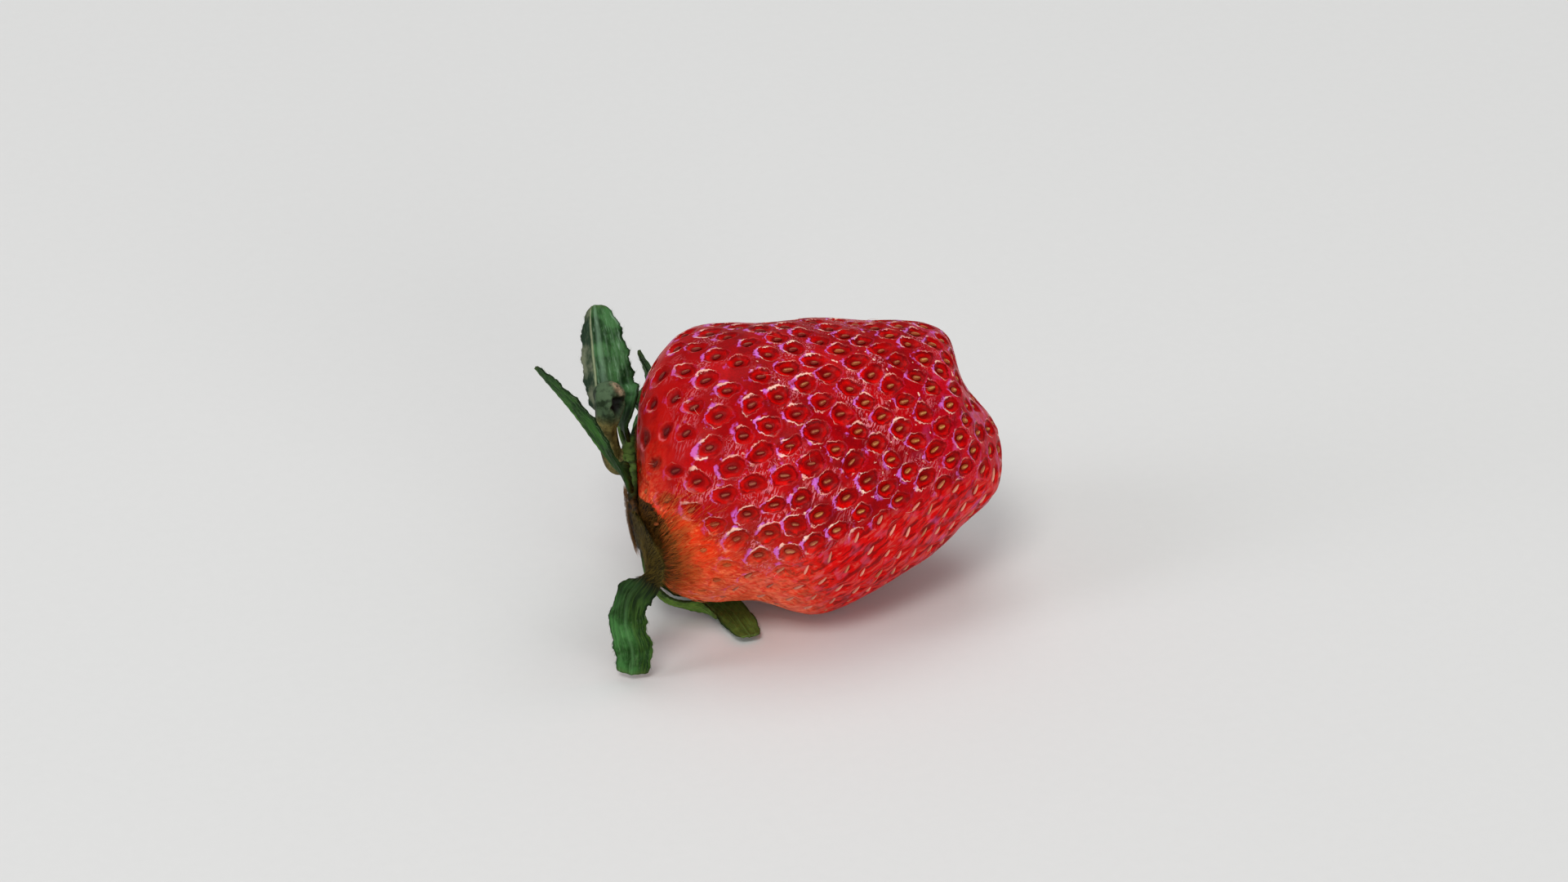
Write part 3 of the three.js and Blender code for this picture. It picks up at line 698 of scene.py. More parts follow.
def make_fruit(seeds):
    d, faces = quad_sphere(FRUIT_QUADS)
    p = skin(d)
    base = p + point_normals(p, faces) * wave(p)[:, None]
    normals = point_normals(base, faces)
    centres = raised(seeds["way"], 0)
    down, side, _ = surface_frame(seeds["way"])
    index, away = nearest_seeds(base, centres)
    first = index[:, 0]
    offset = base - centres[first]
    along = np.sum(offset * down[first], 1)
    across = np.sum(offset * side[first], 1)
    cosine, sine = np.cos(seeds["yaw"][first]), np.sin(seeds["yaw"][first])
    turned = along * cosine + across * sine
    over = across * cosine - along * sine
    cell = np.hypot(turned / seeds["long"][first], over / seeds["wide"][first])
    around, lobe = np.arctan2(over, turned), seeds["lobe"][first]
    uneven = 0.09 * np.sin(2 * around + lobe[:, 0]) + 0.08 * np.sin(3 * around + lobe[:, 1])
    cell = cell * (1 + uneven * smooth(cell, 0.3, 0.8))
    reach = np.maximum(away[:, 0], 0.05)
    share = 2 * away[:, 0] / (away[:, 0] + away[:, 1])  # 1 half-way to the next seed
    ring = np.logaddexp(CREASE * cell, CREASE * RIM_AT * share) / CREASE
    knot = 1 - smooth(away[:, 2] - away[:, 0], 0.1, 0.55)

    zones = zone_values(d, p)
    depth = WELL_DEPTH * (1 - 0.35 * np.maximum(zones["belly"], zones["calm"]))
    height = -depth * (1 - smooth(ring, 0.45, 1.08))
    height = height + RIM_HEIGHT * np.exp(-(((ring - RIM_AT) / 0.14) ** 2))
    ground = place(base)[:, 2]
    height = height * smooth(ground, 0.02, 0.8)
    points = place(base + normals * height[:, None])
    points[:, 2] = np.maximum(points[:, 2], 0.0)
    values = {
        "cell": np.minimum(cell, 4.0),
        "ring": np.minimum(ring, 4.0),
        "knot": knot,
        "leftward": -along / reach,
        "upward": across / reach,
        "luck": seeds["luck"][first],
        **zones,
    }
    return make_object(
        "fruit_skin", points, faces, fruit_material(), ["fruit"], values
    )


SEED_LIFT = 0.1  # of a seed's middle over the floor of its well
SEED_LONG = 0.58  # half-sizes
SEED_WIDE = 0.29
SEED_HIGH = 0.24


def make_seeds(seeds, rng):
    ways = seeds["way"]
    count = len(ways)
    down, side, out = surface_frame(ways)
    centres = raised(ways, SEED_LIFT - WELL_DEPTH)
    yaw = (seeds["yaw"] + rng.normal(0, 0.08, count))[:, None]
    along = unit(down * np.cos(yaw) + side * np.sin(yaw))
    across = np.cross(out, along)
    zones = zone_values(ways, skin(ways))
    unripe, belly = 1 - zones["ripe"], zones["belly"]
    length = SEED_LONG * (1 + rng.normal(0, 0.09, count)) * (1 - 0.2 * unripe + 0.3 * belly)
    width = SEED_WIDE * (1 + rng.normal(0, 0.10, count)) * (1 - 0.2 * unripe - 0.4 * belly)
    height = SEED_HIGH * (1 + rng.normal(0, 0.06, count))
    rings, sides = SEED_MESH
    t = np.linspace(0, math.pi, rings)
    x = -np.cos(t)
    wide = np.sin(t) ** 0.9 * (1 - 0.22 * x)
    wide[[0, -1]] = 0.06
    turn = TAU * np.arange(sides) / sides
    ring_y = wide[:, None] * np.cos(turn)
    keel = 1 + 0.12 * np.exp(-((np.cos(turn) / 0.25) ** 2))
    ring_z = wide[:, None] * np.sin(turn) * keel
    body = (
        x[None, :, None, None] * along[:, None, None] * length[:, None, None, None]
        + ring_y[None, :, :, None] * across[:, None, None] * width[:, None, None, None]
        + ring_z[None, :, :, None] * out[:, None, None] * height[:, None, None, None]
    )
    points = place((centres[:, None, None] + body).reshape(-1, 3))
    core = np.exp(-((ring_y / 0.42) ** 2)) * (1 - smooth(np.abs(x), 0.55, 0.95))[:, None]
    local = skin(ways)
    tone = smooth(local[:, 0] - 0.3 * local[:, 1], -16, 20) + rng.normal(0, 0.15, count)
    tone = tone * (1 - 0.8 * zones["calm"])
    # Belly seeds are painted cream as a highlight; seeds in the shoulder's dark slots are darkened with
    # them as painted shade.
    cream_highlight = belly * (1 - unripe) * rng.uniform(0.25, 1.1, count)
    whole = {"tone": np.clip(tone, 0, 1), "unripe": unripe, "slot_shade": zones["calm"], "cream_highlight": cream_highlight}
    values = {key: np.repeat(value, rings * sides) for key, value in whole.items()}
    values["core"] = np.tile(core.ravel(), count)
    # The underside of each seed, painted dark as shade.
    values["foot"] = np.tile(smooth(-np.sin(turn), -0.35, 0.2), count * rings)
    faces = tube_faces(count, rings, sides)
    make_object("achenes", points, faces, seed_material(), (), values)


# ---- the sepals -----------------------------------------------------------------------------
# Dark, light, vein and back of each kind of leaf.
LEAVES = {
    "silvery": ((18, 48, 16), (62, 106, 60), (132, 164, 136), (60, 80, 50)),
    "jade": ((22, 56, 12), (60, 110, 54), (96, 142, 88), (60, 80, 40)),
    "bright": ((14, 42, 8), (42, 84, 28), (88, 128, 64), (56, 76, 36)),
    "deep": ((50, 76, 22), (94, 130, 52), (130, 158, 80), (84, 106, 48)),
}
# Each blade: where its root lies round the crown in degrees, which way its outer face looks at
# the tip and by what share of the length it has turned there, half-widths at root, widest and
# tip, where it is widest, fold in radians, height of its teeth and waves, how far up it the
# wool reaches, where a pale fold line runs (2 is nowhere), which side is dusky, and its spine.
PLAIN = dict(leaf="bright", pale_line=2, pale_width=0.05, dusk=0)
SEPALS = {
    "sepal_upper": dict(
        PLAIN, leaf="silvery", root=352, face=(-0.25, 0.05, 1), turned=0.45,
        half=(1.9, 3.3, 0.8), widest=0.4, fold=0.6, teeth=0.42, wave=0.2, woolly=0.12,
        pale_line=0.42,
        spine=((-23.3, 5.6, 2.8), (-25.0, 9.2, 3.2), (-25.7, 13.0, 2.8), (-26.6, 19.7, 1.2)),
    ),
    "sepal_near": dict(
        PLAIN, root=80, face=(-0.72, -0.7, 0.14), turned=0.4,
        half=(1.8, 2.8, 0.35), widest=0.55, fold=0.22, teeth=0.62, wave=0.2, woolly=0.1,
        spine=((-22.9, -0.4, 12.0), (-25.6, 2.9, 12.6), (-29.2, 7.6, 12.6), (-33.2, 12.1, 12.2)),
    ),
    "sepal_far": dict(
        PLAIN, root=280, face=(0.8, 0.6, -0.1), turned=1,
        half=(2.0, 2.9, 0.4), widest=0.45, fold=0.25, teeth=0.3, wave=0.2, woolly=0.12,
        spine=((-22.4, 1.0, -5.4), (-22.0, 5.4, -9.4), (-19.9, 10.8, -10.4), (-21.6, 14.5, -10.0)),
    ),
    "sepal_lower": dict(
        PLAIN, leaf="jade", root=128, face=(-0.15, -0.25, 1), turned=0.9,
        half=(2.5, 2.1, 1.8), widest=0.3, fold=0.3, teeth=0.4, wave=0.3, woolly=0.46, dusk=-1,
        spine=(
            (-20.2, -8.6, 12.4), (-19.8, -11.9, 14.5), (-21.9, -14.8, 15.4),
            (-22.4, -18.0, 14.4), (-21.7, -21.4, 12.8), (-21.9, -24.1, 11.2),
        ),
    ),
    "sepal_under": dict(
        PLAIN, leaf="deep", root=208, face=(0, -0.883, -0.469), turned=0.4,
        half=(1.8, 2.0, 1.1), widest=0.7, fold=0.06, teeth=0.2, wave=0.08, woolly=0.2,
        spine=(
            (-19.9, -12.0, -2.6), (-17.9, -14.1, -4.9), (-14.0, -14.9, -5.8),
            (-10.9, -16.7, -3.1), (-8.0, -19.9, 3.5),
        ),
    ),
    "bract_under": dict(
        PLAIN, leaf="deep", root=175, face=(-0.5, -0.6, 0.5), turned=0.6,
        half=(1.0, 1.1, 0.3), widest=0.45, fold=0.1, teeth=0, wave=0.05, woolly=0.1,
        spine=(
            (-20.0, -13.0, 2.8), (-17.9, -15.7, 0.2), (-15.2, -16.4, -1.2),
            (-13.6, -16.6, -0.9), (-12.1, -17.6, 2.1),
        ),
    ),
    "bract_far_low": dict(
        PLAIN, leaf="deep", root=243, face=(-0.6, 0, -0.8), turned=1,
        half=(1.1, 1.6, 0.3), widest=0.45, fold=0.2, teeth=0, wave=0.15, woolly=0.15,
        spine=((-22.0, -6.2, -4.4), (-19.8, -8.4, -9.6), (-14.8, -9.4, -13.6)),
    ),
    "bract_far_high": dict(
        PLAIN, leaf="deep", root=320, face=(-0.9, -0.2, 0.1), turned=1,
        half=(1.1, 1.5, 0.3), widest=0.45, fold=0.2, teeth=0, wave=0.1, woolly=0.12,
        spine=((-23.4, 4.0, -1.6), (-24.2, 9.0, -3.0), (-24.8, 13.6, -5.0)),
    ),
}
CURVE_STEPS = 80  # between two knots of a spine, before it is cut into even stations


def curve(knots, count):
    """Points and unit tangents, evenly spaced along a centripetal Catmull-Rom curve."""
    knots = np.asarray(knots, float)
    full = np.vstack([2 * knots[0] - knots[1], knots, 2 * knots[-1] - knots[-2]])
    dense = []
    for k in range(len(knots) - 1):
        x0, x1, x2, x3 = full[k:k + 4]
        a, b, c = (np.linalg.norm(q - p) ** 0.5 for p, q in ((x0, x1), (x1, x2), (x2, x3)))
        t1 = ((x1 - x0) / a - (x2 - x0) / (a + b) + (x2 - x1) / b) * b
        t2 = ((x2 - x1) / b - (x3 - x1) / (b + c) + (x3 - x2) / c) * b
        t = np.linspace(0, 1, CURVE_STEPS, endpoint=k == len(knots) - 2)[:, None]
        dense.append(
            x1 + t1 * t + (-3 * x1 + 3 * x2 - 2 * t1 - t2) * t**2
            + (2 * x1 - 2 * x2 + t1 + t2) * t**3
        )
    dense = np.vstack(dense)
    length = np.concatenate([[0], np.cumsum(np.linalg.norm(np.diff(dense, axis=0), axis=1))])
    want = np.linspace(0, length[-1], count)
    points = np.stack([np.interp(want, length, dense[:, k]) for k in range(3)], -1)
    slope = np.gradient(dense, axis=0)
    tangent = np.stack([np.interp(want, length, slope[:, k]) for k in range(3)], -1)
    return points, unit(tangent)


def half_width(sepal, s):
    base, wide, tip = sepal["half"]
    widest = sepal["widest"]
    rising = base + (wide - base) * np.sin(np.clip(s / widest, 0, 1) * math.pi / 2)
    t = np.clip((s - widest) / (1 - widest), 0, 1)
    falling = tip + (wide - tip) * np.sqrt(np.maximum(0, 1 - t**2.2))
    return np.where(s < widest, rising, falling)


def sepal_surface(sepal, stations, columns):
    """The middle surface of a blade: points, outward normals, and s and share of each point."""
    phi = math.radians(sepal["root"])
    alpha = crown_reach(np.array(phi)) + math.radians(ROOT_STEP)
    way = direction(alpha, phi)
    root = raised(way[None], GAP + BLADE / 2 + 0.1)[0]
    s = np.linspace(0, 1, stations)
    centre, tangent = curve([root, *sepal["spine"]], stations)
    turned = smooth(s, 0, sepal["turned"])[:, None]
    face = surface_frame(way[None])[2] * (1 - turned) + unit(np.array(sepal["face"])) * turned
    face = unit(face - tangent * np.sum(face * tangent, 1, keepdims=True))
    side = unit(np.cross(tangent, face))
    share = np.linspace(-1, 1, columns)
    edge = np.abs(share)
    saw = np.abs((s * 6 + 0.5) % 1 - 0.5) * 2  # 0 at a tooth's point, 1 between two
    tooth = sepal["teeth"] * (1 - saw) ** 1.3
    tooth = tooth * smooth(s, 0.1, 0.2) * (1 - smooth(s, 0.9, 0.98))
    ragged = 0.7 * np.abs(np.sin(s * 41)) + 0.4 * np.abs(np.sin(s * 97))
    jag = sepal["teeth"] * ragged * smooth(s, 0.15, 0.3)
    reach = half_width(sepal, s)[:, None] + (tooth + 0.5 * jag)[:, None] * edge**6
    free = smooth(s, 0.1, 0.45)[:, None]
    fold = sepal["fold"] * free
    phase = np.where(share > 0, 0.6, 2.2)
    ripple = sepal["wave"] * free * edge * np.sin(2.6 * math.pi * s[:, None] + phase)
    lift = -edge * reach * np.sin(fold) + ripple
    points = (
        centre[:, None]
        + side[:, None] * (share * reach * np.cos(fold))[..., None]
        + face[:, None] * lift[..., None]
    )
    along = np.gradient(points, axis=0)
    across = np.gradient(points, axis=1)
    normal = unit(np.cross(across, along))
    flip = np.sum(normal * face[:, None], -1, keepdims=True) < 0
    normal = np.where(flip, -normal, normal)
    s_all, share_all = np.meshgrid(s, share, indexing="ij")
    return points, normal, s_all, share_all


def vein_relief(s, share, sepal):
    """0..1: the midrib and three pairs of side veins that run along the blade."""
    x = np.abs(share)
    total = np.exp(-((x / (0.07 + 0.05 * (1 - s))) ** 2))
    for at, strength in ((0.3, 0.6), (0.55, 0.5), (0.78, 0.4)):
        line = at + 0.06 * np.sin(5 * s + 7 * at + sepal["root"])
        side = strength * np.exp(-(((x - line) / 0.035) ** 2))
        total = np.maximum(total, side * smooth(s, 0.02, 0.2) * (1 - smooth(s, 0.75, 0.97)))
    return total


def make_sepal(name, node, sepal, material):
    stations, columns = BLADE_MESH
    points, normal, s, share = sepal_surface(sepal, stations, columns)
    veins = vein_relief(s, share, sepal)
    lumps = 0.05 * np.sin(7.1 * points[..., 0] + 2.3 * points[..., 1]) * np.sin(
        3.9 * points[..., 1] + 5.3 * points[..., 2]
    )
    edge = np.abs(share)
    thick = 0.2 + 0.1 * (1 - s) - 0.1 * smooth(edge, 0.6, 1.0)
    thick = thick * (1 - 0.4 * smooth(s, 0.85, 1.0))
    front = points + normal * (thick + 0.07 * veins + lumps)[..., None]
    back = points - normal * (thick + 0.12 * veins - lumps)[..., None]
    cloud = place(np.concatenate([front.reshape(-1, 3), back.reshape(-1, 3)]))
    at = np.arange(stations * columns).reshape(stations, columns)
    size = stations * columns
    quads = np.stack([at[:-1, :-1], at[:-1, 1:], at[1:, 1:], at[1:, :-1]], -1).reshape(-1, 4)
    loop = np.concatenate([at[0, :-1], at[:-1, -1], at[-1, :0:-1], at[:0:-1, 0]])
    ahead = np.roll(loop, -1)
    rim = np.stack([loop, loop + size, ahead + size, ahead], -1)
    faces = np.concatenate([quads, quads[:, ::-1] + size, rim])
    side = -share if name.startswith("sepal_upper") else share
    fold_line = sepal["pale_line"] + 0.06 * np.sin(7 * s)
    pale = np.exp(-(((side - fold_line) / sepal["pale_width"]) ** 2))
    dusk, woolly = sepal["dusk"], sepal["woolly"]
    both = {
        "along": s,
        "veins": veins,
        "margin": smooth(edge, 0.92, 1.0) * smooth(s, 0.1, 0.3),
        "root": 1 - smooth(s, woolly - 0.12, woolly + 0.06),
        "dusk": smooth(dusk * share + 0.25 * np.sin(4 * s + 1.0), -0.2, 0.35) * abs(dusk),
        "shaded": 1 - smooth(s, woolly - 0.05, woolly + 0.28),
        "blade_x": (share * 3 + sepal["root"]) * MM,
        "blade_y": s * 2.6 * MM,
        "pale_edge": pale * smooth(s, 0.1, 0.25),
        "turned_part": smooth(side, fold_line, fold_line + 0.12),
    }
    values = {key: np.tile(value.ravel(), 2) for key, value in both.items()}
    values["back"] = np.repeat([0.0, 1.0], size)
    return make_object(name, cloud, faces, material, [node], values)


def blade_hairs(rng, density):
    """Short pale hairs that lie forward along the margins and backs of the sepals."""
    paths, normals, radii = [], [], []
    rows, columns = BLADE_GRID
    for name, sepal in SEPALS.items():
        points, normal, s, share = sepal_surface(sepal, rows, columns)
        along = unit(np.gradient(points, axis=0))
        across = unit(np.gradient(points, axis=1))
        count = int(density * (1.0 if name.startswith("sepal") else 0.5))
        for _ in range(count):
            i = int(rng.integers(int(rows * min(sepal["woolly"] + 0.15, 0.7)), rows - 4))
            on_edge = rng.random() < 0.45
            j = int(rng.choice([0, columns - 1]) if on_edge else rng.integers(2, columns - 2))
            way = 1.0 if rng.random() < 0.6 else -1.0
            outward = across[i, j] * np.sign(share[i, j]) * (0.9 if on_edge else 0.25)
            n = normal[i, j] * way
            rise = n * rng.uniform(0.08, 0.3)
            go = unit(along[i, j] + outward * rng.uniform(0.2, 0.9) + rise)
            length = rng.uniform(0.2, 0.5)
            t = np.linspace(0, 1, 4)[:, None]
            start = points[i, j] + n * (0.12 if on_edge else 0.2)
            bend = along[i, j] * rng.uniform(0.1, 0.5) * length
            paths.append(start + go * length * t + bend * t**2)
            normals.append(np.repeat(n[None], 4, 0))
            radii.append(rng.uniform(0.007, 0.012) * (1 - 0.7 * t[:, 0]))
    return np.array(paths), np.array(normals), np.array(radii)


def wool(rng, name, count, reach, lengths):
    """Soft brown hairs on the outer face of a sepal's root, swept towards the fruit's tip."""
    rows, columns = BLADE_GRID
    points, normal, _, _ = sepal_surface(SEPALS[name], rows, columns)
    i = (rng.random(count) ** 0.8 * reach * (rows - 1)).astype(int)
    j = rng.integers(1, columns - 1, count)
    start, out = points[i, j], normal[i, j]
    along = unit(np.gradient(points, axis=0))[i, j]
    sweep = np.array([1.0, 0.5, 0.1]) + rng.normal(0, 0.14, (count, 3))
    sweep = unit(sweep - out * np.sum(sweep * out, 1, keepdims=True))
    go = unit(sweep + 0.2 * along + out * rng.uniform(0.05, 0.3, (count, 1)))
    t = np.linspace(0, 1, 5)[None, :, None]
    length = rng.uniform(*lengths, count)[:, None, None]
    paths = start[:, None] + out[:, None] * 0.33 + go[:, None] * length * t
    paths = paths - out[:, None] * (0.12 * length * t**2)
    size = rng.uniform(0.010, 0.016, (count, 1)) * (1 - 0.75 * t[..., 0] ** 1.5)
    return paths, np.repeat(out[:, None], 5, 1), size


# ---- the crown and the stem -----------------------------------------------------------------
STEM_ROOT = (10.5, 15)  # degrees from the leafy end, and round it from the top
STEM_RISE = 0.7
STEM_PATH = [(-25.0, 4.6, 6.4), (-24.7, 7.4, 7.3), (-24.8, 10.5, 7.1)]
STEM_RADII = [1.35, 1.2, 1.25, 1.8, 1.85]
CROWN_RADIUS = 5.6
FLARE = 4.6  # degrees that the crown's rim runs out under a sepal
CROWN_SINK = 0.1  # that the finer crown and stem keep below the solids' faces
KNOB = np.array([-24.75, 8.2, 7.25])  # the middle of the stem's swollen end
HOLLOW = np.array([-23.4, 7.5, 8.45])  # where its hollow opens
DRY_LIP = np.array([[-24.2, 10.4], [-23.2, 9.1]])  # the dry lip runs between these, in u and v


def crown_flare(phi):
    """How far the crown's rim runs out under the root of each sepal, which grows from it."""
    total = np.zeros_like(phi)
    for sepal in SEPALS.values():
        gap = (phi - math.radians(sepal["root"]) + math.pi) % TAU - math.pi
        half = 1.1 * sepal["half"][0] / CROWN_RADIUS
        total = np.maximum(total, math.radians(FLARE) * np.exp(-((gap / half) ** 4)))
    return total


def make_crown(material):
    rings, spokes = CROWN_MESH
    phi = TAU * np.arange(spokes) / spokes
    share = np.linspace(0, 1, rings + 1)[1:]
    alpha = (crown_reach(phi) + crown_flare(phi))[None] * share[:, None]
    d = direction(alpha, np.broadcast_to(phi, alpha.shape))
    thick = CROWN_THICK + (CROWN_RIM_THICK - CROWN_THICK) * share**2
    ridge = 0.12 * np.sin(36 * phi + 3 * np.sin(5 * phi))[None] * smooth(share, 0.15, 0.6)[:, None]
    lump = 0.07 * np.sin(14 * phi[None] + 9 * share[:, None]) * share[:, None]
    stem_way = direction(*np.radians(STEM_ROOT))
    swell = 0.6 * smooth(d @ stem_way, math.cos(math.radians(9)), math.cos(math.radians(4)))
    outer = raised(d.reshape(-1, 3), (GAP + thick[:, None] - CROWN_SINK + ridge + lump + swell).ravel())
    inner = raised(d.reshape(-1, 3), np.full(alpha.size, GAP * 0.6))
    pole = direction(np.array([0.001]), np.array([0.0]))
    top, bottom = raised(pole, GAP + CROWN_THICK - CROWN_SINK), raised(pole, GAP * 0.6)
    size = rings * spokes
    points = place(np.concatenate([outer, inner, top, bottom]))
    at = np.arange(size).reshape(rings, spokes)
    nxt = np.roll(at, -1, axis=1)
    quads = np.stack([at[:-1], nxt[:-1], nxt[1:], at[1:]], -1).reshape(-1, 4)
    rim = np.stack([at[-1], nxt[-1], nxt[-1] + size, at[-1] + size], -1)
    quads = np.concatenate([quads, quads[:, ::-1] + size, rim])
    pole_point = np.full(spokes, 2 * size)
    fans = [
        np.stack([pole_point, nxt[0], at[0]], -1),
        np.stack([pole_point + 1, at[0] + size, nxt[0] + size], -1),
    ]
    faces = np.concatenate([quads[:, :3], quads[:, [0, 2, 3]], *fans])
    faces = facing_out(points, faces, np.arange(size), outer @ LOCAL)

    def by_ring(value, at_poles):
        """A value of each ring, for both faces of the disc and their poles."""
        return np.append(np.tile(np.repeat(value, spokes), 2), [at_poles, at_poles])

    turn = np.degrees(np.append(np.tile(phi, 2 * rings), [0.0, 0.0]))
    nothing = np.zeros(len(points))
    wool = smooth(turn, 84, 100) * (1 - smooth(turn, 172, 196))
    wool = wool * by_ring(smooth(share, 0.3, 0.75), 0.0)
    leafy = by_ring(0.3 + 0.5 * smooth(share, 0.6, 1.0), 0.3)
    values = {"shade": leafy * (1 - wool), "cut": nothing, "lip": nothing, "wool": wool}
    make_object("crown_disc", points, faces, material, ["crown"], values)


def make_stem(material):
    rings, sides = STEM_MESH
    root = direction(np.radians([STEM_ROOT[0]]), np.radians([STEM_ROOT[1]]))
    foot = raised(root, GAP + CROWN_THICK + 0.1)[0]
    neck = raised(root, 2 * GAP + CROWN_THICK + STEM_RISE)[0]
    centre, tangent = curve([foot, neck, *STEM_PATH], rings)
    s = np.linspace(0, 1, rings)
    radius = np.interp(s, np.linspace(0, 1, len(STEM_RADII)), STEM_RADII)
    normal = np.empty_like(centre)
    start = np.array([0.0, 0.0, 1.0])
    for k in range(rings):
        start = unit(start - tangent[k] * np.dot(start, tangent[k]))
        normal[k] = start
    binormal = np.cross(tangent, normal)
    turn = TAU * np.arange(sides) / sides
    # Shallow grooves along the stalk and a ragged, domed, swollen end.
    groove = 0.035 * np.cos(9 * turn)[None] + 0.03 * np.sin(5 * turn + 4 * s[:, None])
    ragged = smooth(s, 0.6, 0.8)[:, None] * (
        0.08 * np.sin(3 * turn + 14 * s[:, None]) + 0.05 * np.sin(7 * turn - 11 * s[:, None])
    )
    dome = np.sqrt(np.maximum(1 - (np.maximum(s - 0.84, 0) / 0.165) ** 2, 0))[:, None]
    foot_flare = 0.16 * (1 - smooth(s, 0.0, 0.2))[:, None]
    reach = radius[:, None] * dome * (1 + foot_flare + groove + ragged - 0.02)
    points = (
        centre[:, None]
        + normal[:, None] * (reach * np.cos(turn))[..., None]
        + binormal[:, None] * (reach * np.sin(turn))[..., None]
    )
    # The cut's hollow, in the side of the knob that faces the fruit, painted near black as shade, and
    # its dry lip.
    inward = unit(KNOB - HOLLOW)
    gap = points - HOLLOW
    away = np.linalg.norm(gap * [1.0, 0.8, 0.8], axis=-1)
    away = away * (1 + 0.12 * np.sin(5 * np.arctan2(gap[..., 1], gap[..., 0])))
    sunk = 1 - smooth(away, 0.35, 1.2)
    lip_way = DRY_LIP[1] - DRY_LIP[0]
    flat = points[..., :2] - DRY_LIP[0]
    t = np.clip(flat @ lip_way / (lip_way @ lip_way), 0, 1)[..., None]
    lip = np.exp(-((np.linalg.norm(flat - t * lip_way, axis=-1) / 0.32) ** 2))
    lip = lip * smooth(points[..., 2], 6.6, 7.6)
    points = points + inward * (0.95 * sunk - 0.12 * lip)[..., None]
    levels = np.array([0.8, 0.6, 0.35, 0.1])
    middle = points[-1].mean(0)
    caps = [middle + (points[-1] - middle) * k for k in levels]
    bottom = points[0].mean(0)
    rows = np.concatenate([points, np.array(caps)])
    cloud = place(np.concatenate([rows.reshape(-1, 3), [middle], [bottom]]))
    count = len(rows)
    at, ahead, walls = wall_faces(count, sides)
    end = np.full(sides, count * sides)
    lid = np.stack([at[-1], ahead[-1], end], -1)
    base = np.stack([ahead[0], at[0], end + 1], -1)
    faces = np.concatenate([walls, lid, base])
    mid_ring = np.arange(rings // 2 * sides, (rings // 2 + 1) * sides)
    outward = place(rows.reshape(-1, 3))[mid_ring] - place(centre[rings // 2][None])
    faces = facing_out(cloud, faces, mid_ring, outward)
    s_rows = np.concatenate([s, np.ones(len(levels))])
    plain = np.zeros((len(levels), sides))
    values = {
        "shade": np.append(np.repeat(smooth(s_rows, 0.55, 0.68), sides), [1.0, 0.0]),
        "cut": np.append(np.concatenate([1 - smooth(away, 0.55, 1.25), plain]), [0.0, 0.0]),
        "lip": np.append(np.concatenate([lip, plain]), [0.0, 0.0]),
        "wool": np.zeros(len(cloud)),
    }
    make_object("stem_stub", cloud, faces, material, ["stem"], values)


# ---- hairs that hug the fruit -----------------------------------------------------------------
HAIR_LEAN = 0.55  # of the hairs on the skin, up from straight away from the leaves
HAIR_STATIONS = 5
STYLE_STATIONS = 7
STYLE_SHARE = 0.07  # of the seeds that keep their style
HAIR_CLEAR = 0.03  # of any hair over the ground


def hugging(start, way, bend, length, high, t):
    """Paths over the skin from directions of the layout sphere, and the skin's normals there."""
    step = (t * (length / MEAN_RADIUS)[:, None])[..., None]
    d = unit(start[:, None] + way[:, None] * step + bend[:, None] * step * t[:, None])
    shape, flat = d.shape, d.reshape(-1, 3)
    high = np.broadcast_to(high, shape[:2]).ravel()
    return raised(flat, high).reshape(shape), surface_frame(flat)[2].reshape(shape)


def skin_hairs(rng, count, alphas, phis, lengths, lift, radius):
    """Hairs that start on the skin and run away from the leafy end, hugging it."""
    alpha = np.radians(rng.uniform(*alphas, count))
    start = direction(alpha, np.radians(phis(rng, count)))
    down, side = tangents(start)
    turn = rng.normal(HAIR_LEAN, 0.15, count)[:, None]
    way = down * np.cos(turn) + side * np.sin(turn)
    bend = side * rng.normal(0, 0.12, count)[:, None]
    length = rng.uniform(*lengths, count)
    t = np.linspace(0, 1, HAIR_STATIONS)
    high = lift[0] + rng.uniform(0, lift[1], count)[:, None] * np.sin(t * 2.4)
    paths, normals = hugging(start, way, bend, length, high, t)
    size = radius * rng.uniform(0.7, 1.2, count)[:, None] * (1 - 0.75 * t**1.5)
    return paths, normals, size


def styles(seeds, rng):
    """The dried style of each seed: a fine curved thread that lies over the rim of its pit."""
    ways = seeds["way"]
    start = ways[rng.random(len(ways)) < STYLE_SHARE]
    count = len(start)
    down, side = tangents(start)
    turn = rng.uniform(0, TAU, count)[:, None]
    way = down * np.cos(turn) + side * np.sin(turn)
    bend = (side * np.cos(turn) - down * np.sin(turn)) * rng.normal(0, 0.7, count)[:, None]
    length = rng.uniform(0.9, 1.5, count)
    t = np.linspace(0, 1, STYLE_STATIONS)
    paths, normals = hugging(start, way, bend, length, -0.08 + 0.26 * np.sin(t * 2.2), t)
    size = 0.022 * (1 - 0.5 * t) * rng.uniform(0.8, 1.2, (count, 1))
    return paths, normals, size


def hair_object(name, parts, rng, material):
    """One piece from groups of hairs, each a group's paths, normals and radii."""
    paths, normals, radii = (np.concatenate(x) for x in zip(*parts))
    points, faces = tubes(paths, radii, normals)
    count, stations = paths.shape[:2]
    values = {
        "along": np.tile(np.repeat(np.linspace(0, 1, stations), HAIR_SIDES), count),
        "tone": np.repeat(rng.random(count), stations * HAIR_SIDES),
    }
    points = place(points)
    points[:, 2] = np.maximum(points[:, 2], HAIR_CLEAR)
    return make_object(name, points, faces, material, (), values)


